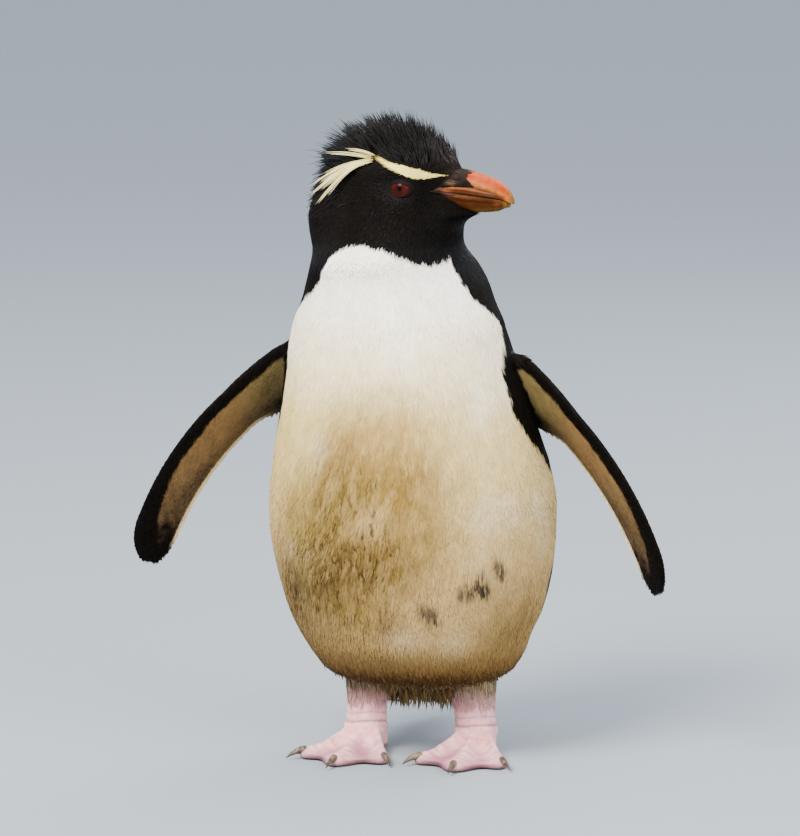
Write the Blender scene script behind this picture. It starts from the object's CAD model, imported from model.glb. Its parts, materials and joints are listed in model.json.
"""The looks of a southern rockhopper penguin, a still, life-size model.

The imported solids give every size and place. One skin replaces the flesh, small solid
feathers lie over it in the way the coat lies, and the bill, eyes, claws, brow plumes and tail
feathers are pieces of their own. Lengths are in metres unless a name says otherwise, and
tables of body rings are in millimetres and degrees, as in the solids.
"""

import json
import logging
import math
from dataclasses import dataclass, replace
from enum import Enum
from itertools import product
from typing import Callable, Iterable, Optional, Sequence

import bmesh
import bpy
import numpy as np
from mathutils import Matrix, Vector

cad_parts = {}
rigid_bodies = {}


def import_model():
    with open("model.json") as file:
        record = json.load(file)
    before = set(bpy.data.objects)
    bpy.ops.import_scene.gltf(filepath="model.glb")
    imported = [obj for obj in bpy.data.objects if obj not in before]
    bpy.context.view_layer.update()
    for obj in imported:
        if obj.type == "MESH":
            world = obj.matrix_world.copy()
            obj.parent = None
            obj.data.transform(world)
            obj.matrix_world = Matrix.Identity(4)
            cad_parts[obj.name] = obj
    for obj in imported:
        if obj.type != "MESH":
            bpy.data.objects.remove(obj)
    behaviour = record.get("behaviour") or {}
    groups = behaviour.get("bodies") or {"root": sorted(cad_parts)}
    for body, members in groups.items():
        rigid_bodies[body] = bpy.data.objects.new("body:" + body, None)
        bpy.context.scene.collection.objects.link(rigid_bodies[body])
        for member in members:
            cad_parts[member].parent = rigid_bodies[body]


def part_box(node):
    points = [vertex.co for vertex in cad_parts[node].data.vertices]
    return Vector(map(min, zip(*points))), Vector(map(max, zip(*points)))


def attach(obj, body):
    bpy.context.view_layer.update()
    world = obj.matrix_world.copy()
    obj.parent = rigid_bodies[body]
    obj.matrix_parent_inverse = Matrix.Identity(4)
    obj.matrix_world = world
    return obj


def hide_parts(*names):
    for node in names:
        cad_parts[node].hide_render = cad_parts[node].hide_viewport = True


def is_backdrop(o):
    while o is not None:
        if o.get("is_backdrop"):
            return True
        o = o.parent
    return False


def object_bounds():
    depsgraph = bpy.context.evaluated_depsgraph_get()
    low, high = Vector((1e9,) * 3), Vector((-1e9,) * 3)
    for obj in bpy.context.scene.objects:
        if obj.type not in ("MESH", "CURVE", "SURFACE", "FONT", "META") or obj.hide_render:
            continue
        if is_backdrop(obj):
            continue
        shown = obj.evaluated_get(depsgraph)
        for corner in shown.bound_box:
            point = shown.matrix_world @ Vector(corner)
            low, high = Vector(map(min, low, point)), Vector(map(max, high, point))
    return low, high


for leftover in list(bpy.data.objects):
    bpy.data.objects.remove(leftover, do_unlink=True)
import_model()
CAD_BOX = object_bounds()

LOG = logging.getLogger("penguin")
MM = 0.001
BODY = "root"
COAT = "coat"
ACROSS = np.array([1.0, 0.0, 0.0])
UP = np.array([0.0, 0.0, 1.0])

Array = np.ndarray
Triple = tuple[float, float, float]
Colour = Triple
Table = tuple[tuple[float, ...], ...]
EVEN: Triple = (1.0, 1.0, 1.0)
# How wide one feather's patch is on the map for the bake.
PATCH = 0.003


class Side(Enum):
    """One side of the bird: its sign across the body, and its sign in the head's frame."""

    RIGHT = -1.0
    LEFT = 1.0

    @property
    def label(self) -> str:
        """Return the side's name as the nodes write it."""
        return self.name.lower()

    @property
    def across(self) -> float:
        """Return +1 towards +X and -1 towards -X."""
        return self.value

    @property
    def in_head(self) -> float:
        """Return +1 on the head's right, which its frame counts as positive."""
        return -self.value


class Slot(Enum):
    """The finishes that the record names."""

    BODY = "plumage_body"
    HEAD = "plumage_head"
    PLUME = "plume"
    BILL = "bill"
    EYE = "eye"
    FOOT = "foot"
    CLAW = "claw"


class Region(Enum):
    """The parts of the skin that feathers are sown on in their own way."""

    BARE = 0
    TRUNK = 1
    HEAD = 2
    FLIPPER_RIGHT = 3
    FLIPPER_LEFT = 4


FLIPPER_REGIONS = {Side.RIGHT: Region.FLIPPER_RIGHT, Side.LEFT: Region.FLIPPER_LEFT}


def unit(vectors: Array) -> Array:
    """Scale vectors to length one.

    Args:
        vectors: Vectors in the last axis.

    Returns:
        The same vectors at length one.
    """
    size = np.linalg.norm(vectors, axis=-1, keepdims=True)
    return vectors / np.maximum(size, 1e-12)


def ease(low: float, high: float, value: Array) -> Array:
    """Rise smoothly from 0 to 1.

    Args:
        low: The value at which the rise starts.
        high: The value at which it ends.
        value: Where to read it.

    Returns:
        The share of the rise at each value.
    """
    share = np.clip((np.asarray(value, float) - low) / (high - low), 0.0, 1.0)
    return share * share * (3.0 - 2.0 * share)


def hill(value: Array, middle: float, spread: float) -> Array:
    """Return a smooth bump of height one about a middle value."""
    return np.exp(-(((value - middle) / spread) ** 2))


def circle(steps: int) -> Array:
    """Return so many equal angles once round a circle, from 0."""
    return np.linspace(0.0, 2.0 * math.pi, steps, endpoint=False)


def mix(first: Array, second: Array, share: Array) -> Array:
    """Blend two colours or values by a share per row.

    Args:
        first: What stands where the share is 0.
        second: What stands where the share is 1.
        share: One share for each row.

    Returns:
        The blended rows.
    """
    first = np.asarray(first, float)
    second = np.asarray(second, float)
    share = np.asarray(share, float)
    if first.ndim or second.ndim:
        share = share[..., None]
    return first * (1.0 - share) + second * share


def read(table: Table, value: Array) -> Array:
    """Read a table of places and what stands there, with straight lines between its rows."""
    places, found = np.array(table).T
    return np.interp(value, places, found)


def lay_flat(direction: Array, normals: Array) -> Array:
    """Turn directions into the surface whose normals are given.

    Args:
        direction: Directions in space, one per row or one for all.
        normals: Unit normals, one per row.

    Returns:
        Unit directions in the surface.
    """
    direction = np.broadcast_to(direction, normals.shape)
    flat = direction - normals * np.sum(direction * normals, axis=1, keepdims=True)
    return unit(flat)


@dataclass(frozen=True)
class Grain:
    """Smooth random values over space, the same on every run.

    Attributes:
        seed: Which pattern of values.
    """

    seed: int

    def at(self, points: Array, size: float) -> Array:
        """Read the pattern.

        Args:
            points: Points in space.
            size: The width of one patch of the pattern.

        Returns:
            Values from 0 to 1.
        """
        cell = np.asarray(points, float) / size
        base = np.floor(cell).astype(np.int64)
        part = cell - base
        part = part * part * (3.0 - 2.0 * part)
        total = np.zeros(len(cell))
        for corner in product((0, 1), repeat=3):
            key = base + np.array(corner)
            mixed = key[:, 0] * 73856093 ^ key[:, 1] * 19349663 ^ key[:, 2] * 83492791
            mixed = (mixed ^ (self.seed * 668265263)) & 0xFFFFFFFF
            mixed = ((mixed ^ (mixed >> 13)) * 1274126177) & 0xFFFFFFFF
            value = ((mixed ^ (mixed >> 16)) & 0xFFFFFF) / float(0xFFFFFF)
            weight = np.ones(len(cell))
            for axis in range(3):
                weight = weight * (part[:, axis] if corner[axis] else 1.0 - part[:, axis])
            total += value * weight
        return total

    def layered(self, points: Array, size: float) -> Array:
        """Read three sizes of the pattern, each half of the last, as one.

        Args:
            points: Points in space.
            size: The width of the widest patches.

        Returns:
            Values from 0 to 1.
        """
        wide = self.at(points, size) * 0.55
        middling = self.at(points + 0.37, size / 2.1) * 0.30
        return wide + middling + self.at(points + 0.71, size / 4.3) * 0.15


def drift(seed: int, points: Array, size: float) -> Array:
    """Return a random vector at each point, each part from -0.5 to 0.5, that changes over a size."""
    return np.stack([Grain(seed + axis).at(points, size) - 0.5 for axis in range(3)], axis=1)


@dataclass(frozen=True)
class HeadAxes:
    """The head's own frame: forward along the bill, to the bird's right, and up.

    Attributes:
        turn: How far the head is turned to the bird's left, in degrees.
        across: The head's middle along X in the body's design frame, in millimetres.
        along: The same along Y.
    """

    turn: float = 78.0
    across: float = -15.6
    along: float = -8.4

    @property
    def forward(self) -> Array:
        """Return the direction of the bill."""
        angle = math.radians(self.turn)
        return np.array([math.sin(angle), -math.cos(angle), 0.0])

    @property
    def right(self) -> Array:
        """Return the direction of the head's right side."""
        ahead = self.forward
        return np.array([ahead[1], -ahead[0], 0.0])

    @property
    def middle(self) -> Array:
        """Return the point on the floor under the head's middle."""
        return np.array([self.across, self.along, 0.0]) * MM

    def place(self, inner: Array) -> Array:
        """Carry points from the head's frame into the body's design frame.

        Args:
            inner: Points as forward, right and up.

        Returns:
            The same points in the design frame.
        """
        inner = np.asarray(inner, float)
        turned = inner[..., 0:1] * self.forward + inner[..., 1:2] * self.right
        return self.middle + turned + inner[..., 2:3] * UP

    def read(self, points: Array) -> Array:
        """Carry points from the body's design frame into the head's frame.

        Args:
            points: Points in the design frame.

        Returns:
            The same points as forward, right and up.
        """
        away = np.asarray(points, float) - self.middle
        return np.stack([away @ self.forward, away @ self.right, away[..., 2]], axis=-1)

    def aim(self, inner: Array) -> Array:
        """Turn directions from the head's frame into the body's."""
        return self.place(inner) - self.middle


@dataclass(frozen=True)
class BodyForm:
    """The feathered body as level rings, the same rings that the solids are made from.

    Attributes:
        stations: Height, middle across, middle along, reach ahead, reach behind, half width
            and turn of each ring, in millimetres and degrees.
        chin_reach: How far the chin feathers stand out under the bill.
        chin_height: The height of their middle.
        chin_depth: How far they spread up and down.
        chin_width: How far they spread about the head, in radians.
        lore_depth: How far the face draws in between eye and bill.
        lore_height: The height of that hollow's middle.
        lore_span: How far it spreads up and down, as the cheek and the nape's hollow do.
        lore_turn: How far round from the bill it lies, in radians.
        lore_width: How far it spreads about the head.
        cheek: How far the cheeks stand out.
        cheek_height: The height of their middle.
        cheek_turn: How far round from the bill they lie.
        nape_hollow: How far the coat lies in over the fold behind the turned neck.
        nape_height: The height of that hollow's middle.
        nape_width: How far it spreads about the neck.
    """

    stations: Table = (
        (46.0, 2.0, 5.0, 24.0, 28.0, 34.0, 0.0),
        (49.0, 2.0, 4.0, 40.0, 48.0, 52.0, 0.0),
        (55.0, 2.0, 2.0, 52.0, 62.0, 62.5, 0.0),
        (65.0, 2.0, 0.0, 62.0, 71.0, 70.0, 0.0),
        (80.0, 1.5, -3.0, 72.0, 76.0, 77.0, 0.0),
        (99.0, 1.5, -4.0, 80.5, 77.0, 85.0, 0.0),
        (122.0, 1.0, -5.0, 86.0, 75.0, 91.0, 0.0),
        (148.0, 0.0, -6.0, 89.0, 71.5, 94.5, 0.0),
        (172.0, 0.0, -7.0, 88.0, 68.0, 94.5, 0.0),
        (196.0, -1.0, -8.0, 84.5, 64.0, 90.5, 0.0),
        (220.0, -3.0, -9.0, 78.5, 60.0, 85.0, 0.0),
        (246.0, -5.5, -10.0, 71.0, 55.5, 79.0, 0.0),
        (268.0, -7.5, -10.0, 64.0, 51.5, 74.0, 0.0),
        (284.0, -8.5, -10.0, 58.5, 49.0, 69.5, 0.0),
        (298.0, -9.0, -9.5, 53.0, 48.0, 63.5, 4.0),
        (310.0, -10.0, -9.0, 50.0, 49.5, 59.5, 18.0),
        (322.0, -12.0, -8.5, 49.5, 52.5, 55.5, 44.0),
        (334.0, -14.8, -8.4, 50.0, 54.5, 47.0, 66.0),
        (346.0, -15.6, -8.4, 52.0, 54.5, 41.0, 76.0),
        (358.0, -15.6, -8.4, 54.5, 52.5, 37.0, 78.0),
        (370.0, -15.6, -8.4, 55.0, 48.0, 34.0, 78.0),
        (382.0, -15.6, -8.4, 50.5, 41.0, 31.0, 78.0),
        (391.0, -15.6, -8.4, 43.0, 32.5, 26.5, 78.0),
        (399.0, -15.6, -8.4, 33.5, 23.0, 20.5, 78.0),
        (404.5, -15.6, -8.4, 23.0, 13.0, 13.5, 78.0),
        (408.0, -15.6, -8.4, 12.0, 3.0, 6.0, 78.0),
    )
    chin_reach: float = 10.0 * MM
    chin_height: float = 353.5 * MM
    chin_depth: float = 5.5 * MM
    chin_width: float = math.radians(17.0)
    lore_depth: float = 7.0 * MM
    lore_height: float = 368.0 * MM
    lore_span: float = 12.0 * MM
    lore_turn: float = math.radians(24.0)
    lore_width: float = math.radians(14.0)
    cheek: float = 1.2 * MM
    cheek_height: float = 356.0 * MM
    cheek_turn: float = math.radians(64.0)
    nape_hollow: float = 5.5 * MM
    nape_height: float = 321.0 * MM
    nape_width: float = math.radians(40.0)

    @property
    def bottom(self) -> float:
        """Return the height of the lowest ring."""
        return self.stations[0][0] * MM

    @property
    def top(self) -> float:
        """Return the height of the highest ring."""
        return self.stations[-1][0] * MM

    def rings(self, heights: Array) -> Array:
        """Read the rings' measures at any heights, along smooth curves between the stations.

        Args:
            heights: Heights, in metres.

        Returns:
            One row per height: middle across and along, reach ahead and behind, half width
            and turn, in metres and radians.
        """
        table = np.array(self.stations)
        place = np.clip(np.asarray(heights, float) / MM, table[0, 0], table[-1, 0])
        before = np.vstack([table[:1], table[:-1]])
        after = np.vstack([table[1:], table[-1:]])
        slopes = (after - before)[:, 1:] / (after - before)[:, :1]
        at = np.clip(np.searchsorted(table[:, 0], place, side="right") - 1, 0, len(table) - 2)
        span = (table[at + 1, 0] - table[at, 0])[..., None]
        share = (place - table[at, 0])[..., None] / span
        read = (
            (2.0 * share**3 - 3.0 * share**2 + 1.0) * table[at, 1:]
            + (share**3 - 2.0 * share**2 + share) * slopes[at] * span
            + (3.0 * share**2 - 2.0 * share**3) * table[at + 1, 1:]
            + (share**3 - share**2) * slopes[at + 1] * span
        )
        read[..., :5] *= MM
        read[..., 5] = np.radians(read[..., 5])
        return read

    def radius(self, angles: Array, heights: Array) -> Array:
        """Return the distance of the coat's outer side from a ring's middle.

        Args:
            angles: Angles about the ring, from -Y towards +X, in radians.
            heights: Heights, in metres.

        Returns:
            One radius for each pair.
        """
        row = self.rings(heights)
        local = angles - row[..., 5]
        reach = np.where(np.cos(local) > 0.0, row[..., 2], row[..., 3])
        radius = 1.0 / np.hypot(np.cos(local) / reach, np.sin(local) / row[..., 4])
        from_bill = (angles - math.radians(HEAD.turn) + math.pi) % (2.0 * math.pi) - math.pi
        radius = radius + self.chin_reach * hill(from_bill, 0.0, self.chin_width) * hill(
            heights, self.chin_height, self.chin_depth
        )
        aside = np.abs(from_bill)
        radius = radius - self.lore_depth * hill(aside, self.lore_turn, self.lore_width) * hill(
            heights, self.lore_height, self.lore_span
        )
        behind = np.abs(angles) - math.pi
        radius = radius - self.nape_hollow * hill(behind, 0.0, self.nape_width) * hill(
            heights, self.nape_height, self.lore_span
        )
        return radius + self.cheek * hill(aside, self.cheek_turn, self.lore_width * 1.6) * hill(
            heights, self.cheek_height, self.lore_span
        )

    def points(self, angles: Array, heights: Array) -> Array:
        """Return points on the coat's outer side.

        Args:
            angles: Angles about the rings.
            heights: Heights.

        Returns:
            The points in the design frame.
        """
        row = self.rings(heights)
        radius = self.radius(angles, heights)
        across = row[..., 0] + np.sin(angles) * radius
        along = row[..., 1] - np.cos(angles) * radius
        return np.stack([across, along, np.broadcast_to(heights, across.shape)], axis=-1)

    def angles_of(self, points: Array) -> tuple[Array, Array]:
        """Read where points lie about the rings.

        Args:
            points: Points in the design frame.

        Returns:
            Each point's angle, and its distance outside the coat's outer side.
        """
        row = self.rings(points[:, 2])
        across = points[:, 0] - row[:, 0]
        along = points[:, 1] - row[:, 1]
        angles = np.arctan2(across, -along)
        return angles, np.hypot(across, along) - self.radius(angles, points[:, 2])

    def meridian(self, points: Array) -> Array:
        """Return how far up the body's surface points lie, measured along the surface.

        Args:
            points: Points in the design frame.

        Returns:
            Lengths from the rim of the belly's flat underside, less than 0 on that flat.
        """
        heights = np.linspace(self.bottom, self.top, 200)
        row = self.rings(heights)
        reach = (row[:, 2] + row[:, 3] + row[:, 4] * 2.0) / 4.0
        steps = np.hypot(np.diff(heights), np.diff(reach))
        lengths = np.concatenate([[0.0], np.cumsum(steps)])
        _, outside = self.angles_of(points)
        under = np.where(points[:, 2] < self.bottom + 1.5 * MM, np.minimum(outside, 0.0), 0.0)
        return np.interp(points[:, 2], heights, lengths) + under


@dataclass(frozen=True)
class FlipperForm:
    """One flipper, bent as it hangs clear of the body.

    Attributes:
        side: Which flipper.
        shoulder: Where it leaves the body, in the design frame.
        drop: How steeply it hangs at the shoulder and at the tip, in degrees.
        length: Its length along its middle line.
        chord: How wide it is from edge to edge.
        thickness: How thick it is at the shoulder.
        ahead: How far it swings back for each unit of length, less than 0 where it swings ahead.
        opening: How far its leading edge is turned outward from straight ahead, in degrees.
        root_opening: How much more it is turned at the shoulder.
        root_share: The share of the length over which the root differs from the rest.
        root_wider: How much wider the root is, as a share of the chord.
        tip_narrower: How much narrower the far end is.
        tip_thinner: How much thinner the far end is, as a share of the thickness.
        tip_start: The share of the length at which the tip starts to round off.
        tip_span: The share over which it does.
        walk: How many steps its bent middle line is worked out in.
    """

    side: Side
    shoulder: Triple
    drop: tuple[float, float]
    length: float = 162.0 * MM
    chord: float = 47.0 * MM
    thickness: float = 9.0 * MM
    ahead: float = -0.13
    opening: float = 37.0
    root_opening: float = 14.0
    root_share: float = 0.25
    root_wider: float = 0.20
    tip_narrower: float = 0.20
    tip_thinner: float = 0.62
    tip_start: float = 0.84
    tip_span: float = 0.165
    walk: int = 240

    def axes(self, shares: Array) -> tuple[Array, Array, Array, Array]:
        """Read the flipper's middle line and its section's axes.

        Args:
            shares: Shares of the length, 0 at the shoulder and less than 0 inside the body.

        Returns:
            The middle points, the directions to the tip, those to the leading edge, and
            those through the flipper.
        """
        table = np.linspace(0.0, 1.0, self.walk + 1)
        slant = np.radians(self.drop[0] + (self.drop[1] - self.drop[0]) * table)
        sign = self.side.across
        ahead = np.full_like(slant, self.ahead)
        steps = np.stack([sign * np.cos(slant), ahead, -np.sin(slant)], axis=1)
        stride = (steps[1:] + steps[:-1]) / 2.0 * self.length / self.walk
        line = np.vstack([np.zeros(3), np.cumsum(stride, axis=0)]) + np.array(self.shoulder)
        held = np.clip(shares, 0.0, 1.0)
        middle = np.stack([np.interp(held, table, line[:, axis]) for axis in range(3)], axis=-1)
        slope = np.interp(held, table, slant)
        zero = np.zeros_like(slope)
        axis = unit(np.stack([sign * np.cos(slope), zero + self.ahead, -np.sin(slope)], axis=-1))
        middle = middle + axis * (np.minimum(shares, 0.0) * self.length)[..., None]
        outward = np.stack([sign * np.sin(slope), zero, np.cos(slope)], axis=-1)
        at_root = np.maximum(1.0 - held / self.root_share, 0.0)
        opening = np.radians(self.opening + self.root_opening * at_root)[..., None]
        leading = outward * np.sin(opening) + np.array([0.0, -1.0, 0.0]) * np.cos(opening)
        leading = unit(leading - axis * np.sum(leading * axis, axis=-1, keepdims=True))
        return middle, axis, leading, np.cross(leading, axis)

    def measures(self, shares: Array) -> tuple[Array, Array, Array]:
        """Read the section's sizes.

        Args:
            shares: Shares of the length.

        Returns:
            The chord, the thickness, and how far the section is shifted along its chord.
        """
        held = np.clip(shares, 0.0, 1.0)
        at_root = np.maximum(1.0 - held / self.root_share, 0.0)
        at_tip = np.maximum((held - self.tip_start) / self.tip_span, 0.0)
        rounding = np.sqrt(np.maximum(1.0 - at_tip**2, 0.0))
        chord = 1.0 + self.root_wider * at_root - self.tip_narrower * held**2
        thick = self.thickness * (1.0 - self.tip_thinner * held) * (0.35 + 0.65 * rounding)
        sweep = 0.04 + 0.09 * at_root + 0.10 * (1.0 - rounding)
        return chord * self.chord * rounding, thick, -self.chord * sweep

    def locate(self, points: Array) -> Array:
        """Read where points lie on the flipper.

        Args:
            points: Points in the design frame.

        Returns:
            One row per point: the share of the length, the place across the chord from -0.5
            at the trailing edge to 0.5 at the leading one, and the height off the middle
            of the section, above 0 on the outer side and below it on the inner side.
        """
        table = np.linspace(0.0, 1.0, 61)
        line = self.axes(table)[0]
        gaps = np.linalg.norm(points[:, None, :] - line[None], axis=2)
        near = table[np.argmin(gaps, axis=1)]
        for _ in range(3):
            middle, axis, leading, through = self.axes(near)
            near = near + np.sum((points - middle) * axis, axis=1) / self.length
        middle, axis, leading, through = self.axes(near)
        chord, _, shift = self.measures(near)
        away = points - middle
        across = (np.sum(away * leading, axis=1) - shift) / np.maximum(chord, 1.0 * MM)
        height = np.sum(away * through, axis=1) * self.side.across
        return np.stack([near, across, height], axis=1)

    def ring(self, share: float, inset: float, steps: int) -> Array:
        """Return one closed section of the flipper's skin.

        Args:
            share: The share of the length.
            inset: How far the skin lies inside the coat at the edges.
            steps: How many points the section has.

        Returns:
            The section's points in the design frame.
        """
        middle, _, leading, through = self.axes(np.array([share]))
        chord, thick, shift = self.measures(np.array([share]))
        turn = circle(steps)
        along = 0.5 * np.cos(turn)
        high = 0.88 * np.sin(turn) * (0.53 + 0.27 * np.cos(turn))
        wide = max(chord[0] - 2.0 * inset, 1.2 * MM)
        deep = max(thick[0] - 0.8 * MM, 1.0 * MM)
        return (
            middle
            + leading * (wide * along + shift[0])[:, None]
            + through * (deep * high)[:, None]
        )


HEAD = HeadAxes()
FORM = BodyForm()
FLIPPERS = {
    Side.RIGHT: FlipperForm(Side.RIGHT, (-80.0 * MM, -7.0 * MM, 249.0 * MM), (31.0, 76.0)),
    Side.LEFT: FlipperForm(Side.LEFT, (73.0 * MM, -7.0 * MM, 243.0 * MM), (36.0, 73.0)),
}
EYE_FORWARD = 20.8 * MM
EYE_HEIGHT = 369.2 * MM


def find_shift() -> Array:
    """Return how far the design frame was moved to set the bird on its origin.

    Returns:
        The shift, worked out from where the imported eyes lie.
    """
    corners = [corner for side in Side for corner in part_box(f"eye_{side.label}")]
    middle = np.mean([list(corner) for corner in corners], axis=0)
    design = HEAD.place(np.array([EYE_FORWARD, 0.0, EYE_HEIGHT]))
    return middle - design


SHIFT = find_shift()


class Recipe:
    """A new material's node tree, with short calls that add and join its nodes."""

    def __init__(self, name: str) -> None:
        """Start a Principled material.

        Args:
            name: The material's name.
        """
        self.material = bpy.data.materials.new(name)
        self.material.use_nodes = True
        self.tree = self.material.node_tree
        self.shader = self.tree.nodes["Principled BSDF"]

    def set(self, **values: object) -> None:
        """Set the shader's sockets to constants.

        Args:
            values: Socket names, with _ for a space, and their values.
        """
        for key, value in values.items():
            self.shader.inputs[key.replace("_", " ")].default_value = value

    def join(self, source: bpy.types.NodeSocket, socket: str) -> None:
        """Lead an output to one of the shader's sockets."""
        self.tree.links.new(source, self.shader.inputs[socket])

    def node(self, kind: str, sockets: Optional[dict] = None, **settings: object) -> bpy.types.Node:
        """Add a node.

        Args:
            kind: The node's type.
            sockets: Values or outputs for its inputs, by name or number.
            settings: The node's own properties.

        Returns:
            The new node.
        """
        made = self.tree.nodes.new(kind)
        for key, value in settings.items():
            setattr(made, key, value)
        for key, value in (sockets or {}).items():
            if isinstance(value, bpy.types.NodeSocket):
                self.tree.links.new(value, made.inputs[key])
            else:
                made.inputs[key].default_value = value
        return made

    def place(self, stretch: Triple = EVEN) -> bpy.types.NodeSocket:
        """Return the socket of a point's place on the piece, stretched along the axes."""
        where = self.node("ShaderNodeTexCoord").outputs["Object"]
        return self.node("ShaderNodeMapping", {"Vector": where, "Scale": stretch}).outputs[0]

    def noise(self, scale: float, detail: float = 3.0, stretch: Triple = EVEN) -> bpy.types.NodeSocket:
        """Add a noise texture.

        Args:
            scale: Patches per metre.
            detail: How many finer layers it has.
            stretch: How much finer it is along each axis.

        Returns:
            The socket of its value.
        """
        sockets = {"Vector": self.place(stretch), "Scale": scale, "Detail": detail}
        return self.node("ShaderNodeTexNoise", sockets).outputs[0]

    def cells(self, scale: float) -> bpy.types.NodeSocket:
        """Return the socket of a pattern of so many scales per metre: the distance to their edges."""
        sockets = {"Vector": self.place(), "Scale": scale}
        made = self.node("ShaderNodeTexVoronoi", sockets, feature="DISTANCE_TO_EDGE")
        return made.outputs["Distance"]

    def spread(
        self, source: bpy.types.NodeSocket, low: float, high: float, start: float = 0.3, end: float = 0.7
    ) -> bpy.types.NodeSocket:
        """Spread a value over another range.

        Args:
            source: The value's socket.
            low: What the start becomes.
            high: What the end becomes.
            start: The value that becomes low.
            end: The value that becomes high.

        Returns:
            The socket of the new value.
        """
        sockets = {"Value": source, "From Min": start, "From Max": end, "To Min": low, "To Max": high}
        return self.node("ShaderNodeMapRange", sockets).outputs["Result"]

    def paint(self, variation: bpy.types.NodeSocket) -> None:
        """Take the colour from the mesh and vary its brightness.

        Args:
            variation: The socket of the factor that the colour is multiplied by.
        """
        colour = self.node("ShaderNodeAttribute", attribute_name=COAT).outputs["Color"]
        scaled = self.node("ShaderNodeVectorMath", {0: colour, "Scale": variation}, operation="SCALE")
        self.join(scaled.outputs["Vector"], "Base Color")

    def bump(self, height: bpy.types.NodeSocket, strength: float, distance: float) -> None:
        """Roughen the surface by a height.

        Args:
            height: The height's socket.
            strength: How strongly it shows.
            distance: The height in metres that 1 stands for.
        """
        sockets = {"Height": height, "Strength": strength, "Distance": distance}
        self.join(self.node("ShaderNodeBump", sockets).outputs["Normal"], "Normal")


@dataclass(frozen=True)
class Finish:
    """The base of all finishes.

    Attributes:
        name: The material's name.
    """

    name: str

    def build(self) -> bpy.types.Material:
        """Make the material once and return it on later calls.

        Returns:
            The material.
        """
        made = bpy.data.materials.get(self.name)
        if made is None:
            recipe = Recipe(self.name)
            self.dress(recipe)
            made = recipe.material
        return made

    def dress(self, recipe: Recipe) -> None:
        """Set the shader and add its nodes."""
        raise NotImplementedError


@dataclass(frozen=True)
class FeatherFinish(Finish):
    """Small feathers: matt, with a soft sheen at grazing angles.

    Attributes:
        roughness: The lowest and highest roughness.
        sheen: How strong the sheen is.
        specular: How strong the mirror-like part is.
        variation: How far the brightness varies.
    """

    name: str = "feather"
    roughness: tuple[float, float] = (0.60, 0.80)
    sheen: float = 0.0
    specular: float = 0.045
    variation: float = 0.08

    def dress(self, recipe: Recipe) -> None:
        """Lay fine barbs over the mesh's own colours."""
        fine = recipe.noise(1400.0, 2.0, (1.0, 1.0, 0.35))
        broad = recipe.noise(90.0)
        recipe.paint(recipe.spread(broad, 1.0 - self.variation, 1.0 + self.variation))
        recipe.join(recipe.spread(fine, *self.roughness), "Roughness")
        recipe.bump(fine, 0.35, 0.25 * MM)
        recipe.set(Sheen_Weight=self.sheen, Sheen_Roughness=0.45, Specular_IOR_Level=self.specular)


DARK_FEATHER = FeatherFinish("feather_dark", specular=0.035)


@dataclass(frozen=True)
class HornFinish(Finish):
    """The bill's horn: hard and a little worn, with fine lines along it.

    Attributes:
        roughness: The lowest and highest roughness.
        gloss: The weight of the thin glossy layer.
        specular: How strong the mirror-like part is.
    """

    name: str = "bill_horn_worn"
    roughness: tuple[float, float] = (0.32, 0.54)
    gloss: float = 0.035
    specular: float = 0.05

    def dress(self, recipe: Recipe) -> None:
        """Lay flaked patches and fine lines over the mesh's own colours."""
        flakes = recipe.noise(420.0, 5.0)
        lines = recipe.noise(900.0, 3.0, (0.22, 0.22, 1.0))
        recipe.paint(recipe.spread(flakes, 0.78, 1.18))
        recipe.join(recipe.spread(flakes, *self.roughness), "Roughness")
        recipe.bump(lines, 0.30, 0.25 * MM)
        recipe.set(Coat_Weight=self.gloss, Coat_Roughness=0.3, Specular_IOR_Level=self.specular)


@dataclass(frozen=True)
class EyeFinish(Finish):
    """The eye: a painted ball under a wet clear layer.

    Attributes:
        gloss: The weight of the clear layer.
        specular: How strong the mirror-like part under it is.
    """

    name: str = "eye_wet"
    gloss: float = 0.025
    specular: float = 0.03

    def dress(self, recipe: Recipe) -> None:
        """Streak the iris a little and lay the clear layer on."""
        streaks = recipe.noise(1500.0, 2.0)
        recipe.paint(recipe.spread(streaks, 0.8, 1.2))
        recipe.join(recipe.spread(streaks, 0.10, 0.18), "Roughness")
        recipe.bump(streaks, 0.04, 0.05 * MM)
        recipe.set(Coat_Weight=self.gloss, Coat_Roughness=0.05, Specular_IOR_Level=self.specular)


@dataclass(frozen=True)
class HideFinish(Finish):
    """Bare skin: scaly and leathery, with light passing a little way in.

    Attributes:
        scale: Scales per metre.
        relief: How high the scales stand.
        roughness: The lowest and highest roughness.
        specular: How strong the mirror-like part is.
    """

    name: str = "bare_hide"
    scale: float = 620.0
    relief: float = 0.35 * MM
    roughness: tuple[float, float] = (0.42, 0.62)
    specular: float = 0.30

    def dress(self, recipe: Recipe) -> None:
        """Lay small scales and blotches over the mesh's own colours."""
        scales = recipe.cells(self.scale)
        blotches = recipe.noise(160.0, 4.0)
        recipe.paint(recipe.spread(blotches, 0.86, 1.10))
        recipe.join(recipe.spread(blotches, *self.roughness), "Roughness")
        recipe.bump(recipe.spread(scales, 0.0, 1.0, 0.0, 0.25), 0.4, self.relief)
        recipe.set(Subsurface_Weight=0.12, Subsurface_Scale=4.0 * MM, Specular_IOR_Level=self.specular)


@dataclass(frozen=True)
class ClawFinish(Finish):
    """Claw horn, streaked from root to tip."""

    name: str = "claw_horn_streaked"

    def dress(self, recipe: Recipe) -> None:
        """Streak the mesh's own colours."""
        streaks = recipe.noise(700.0, 3.0, (1.0, 0.3, 1.0))
        recipe.paint(recipe.spread(streaks, 0.75, 1.2))
        recipe.join(recipe.spread(streaks, 0.30, 0.5), "Roughness")
        recipe.bump(streaks, 0.3, 0.2 * MM)


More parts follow.
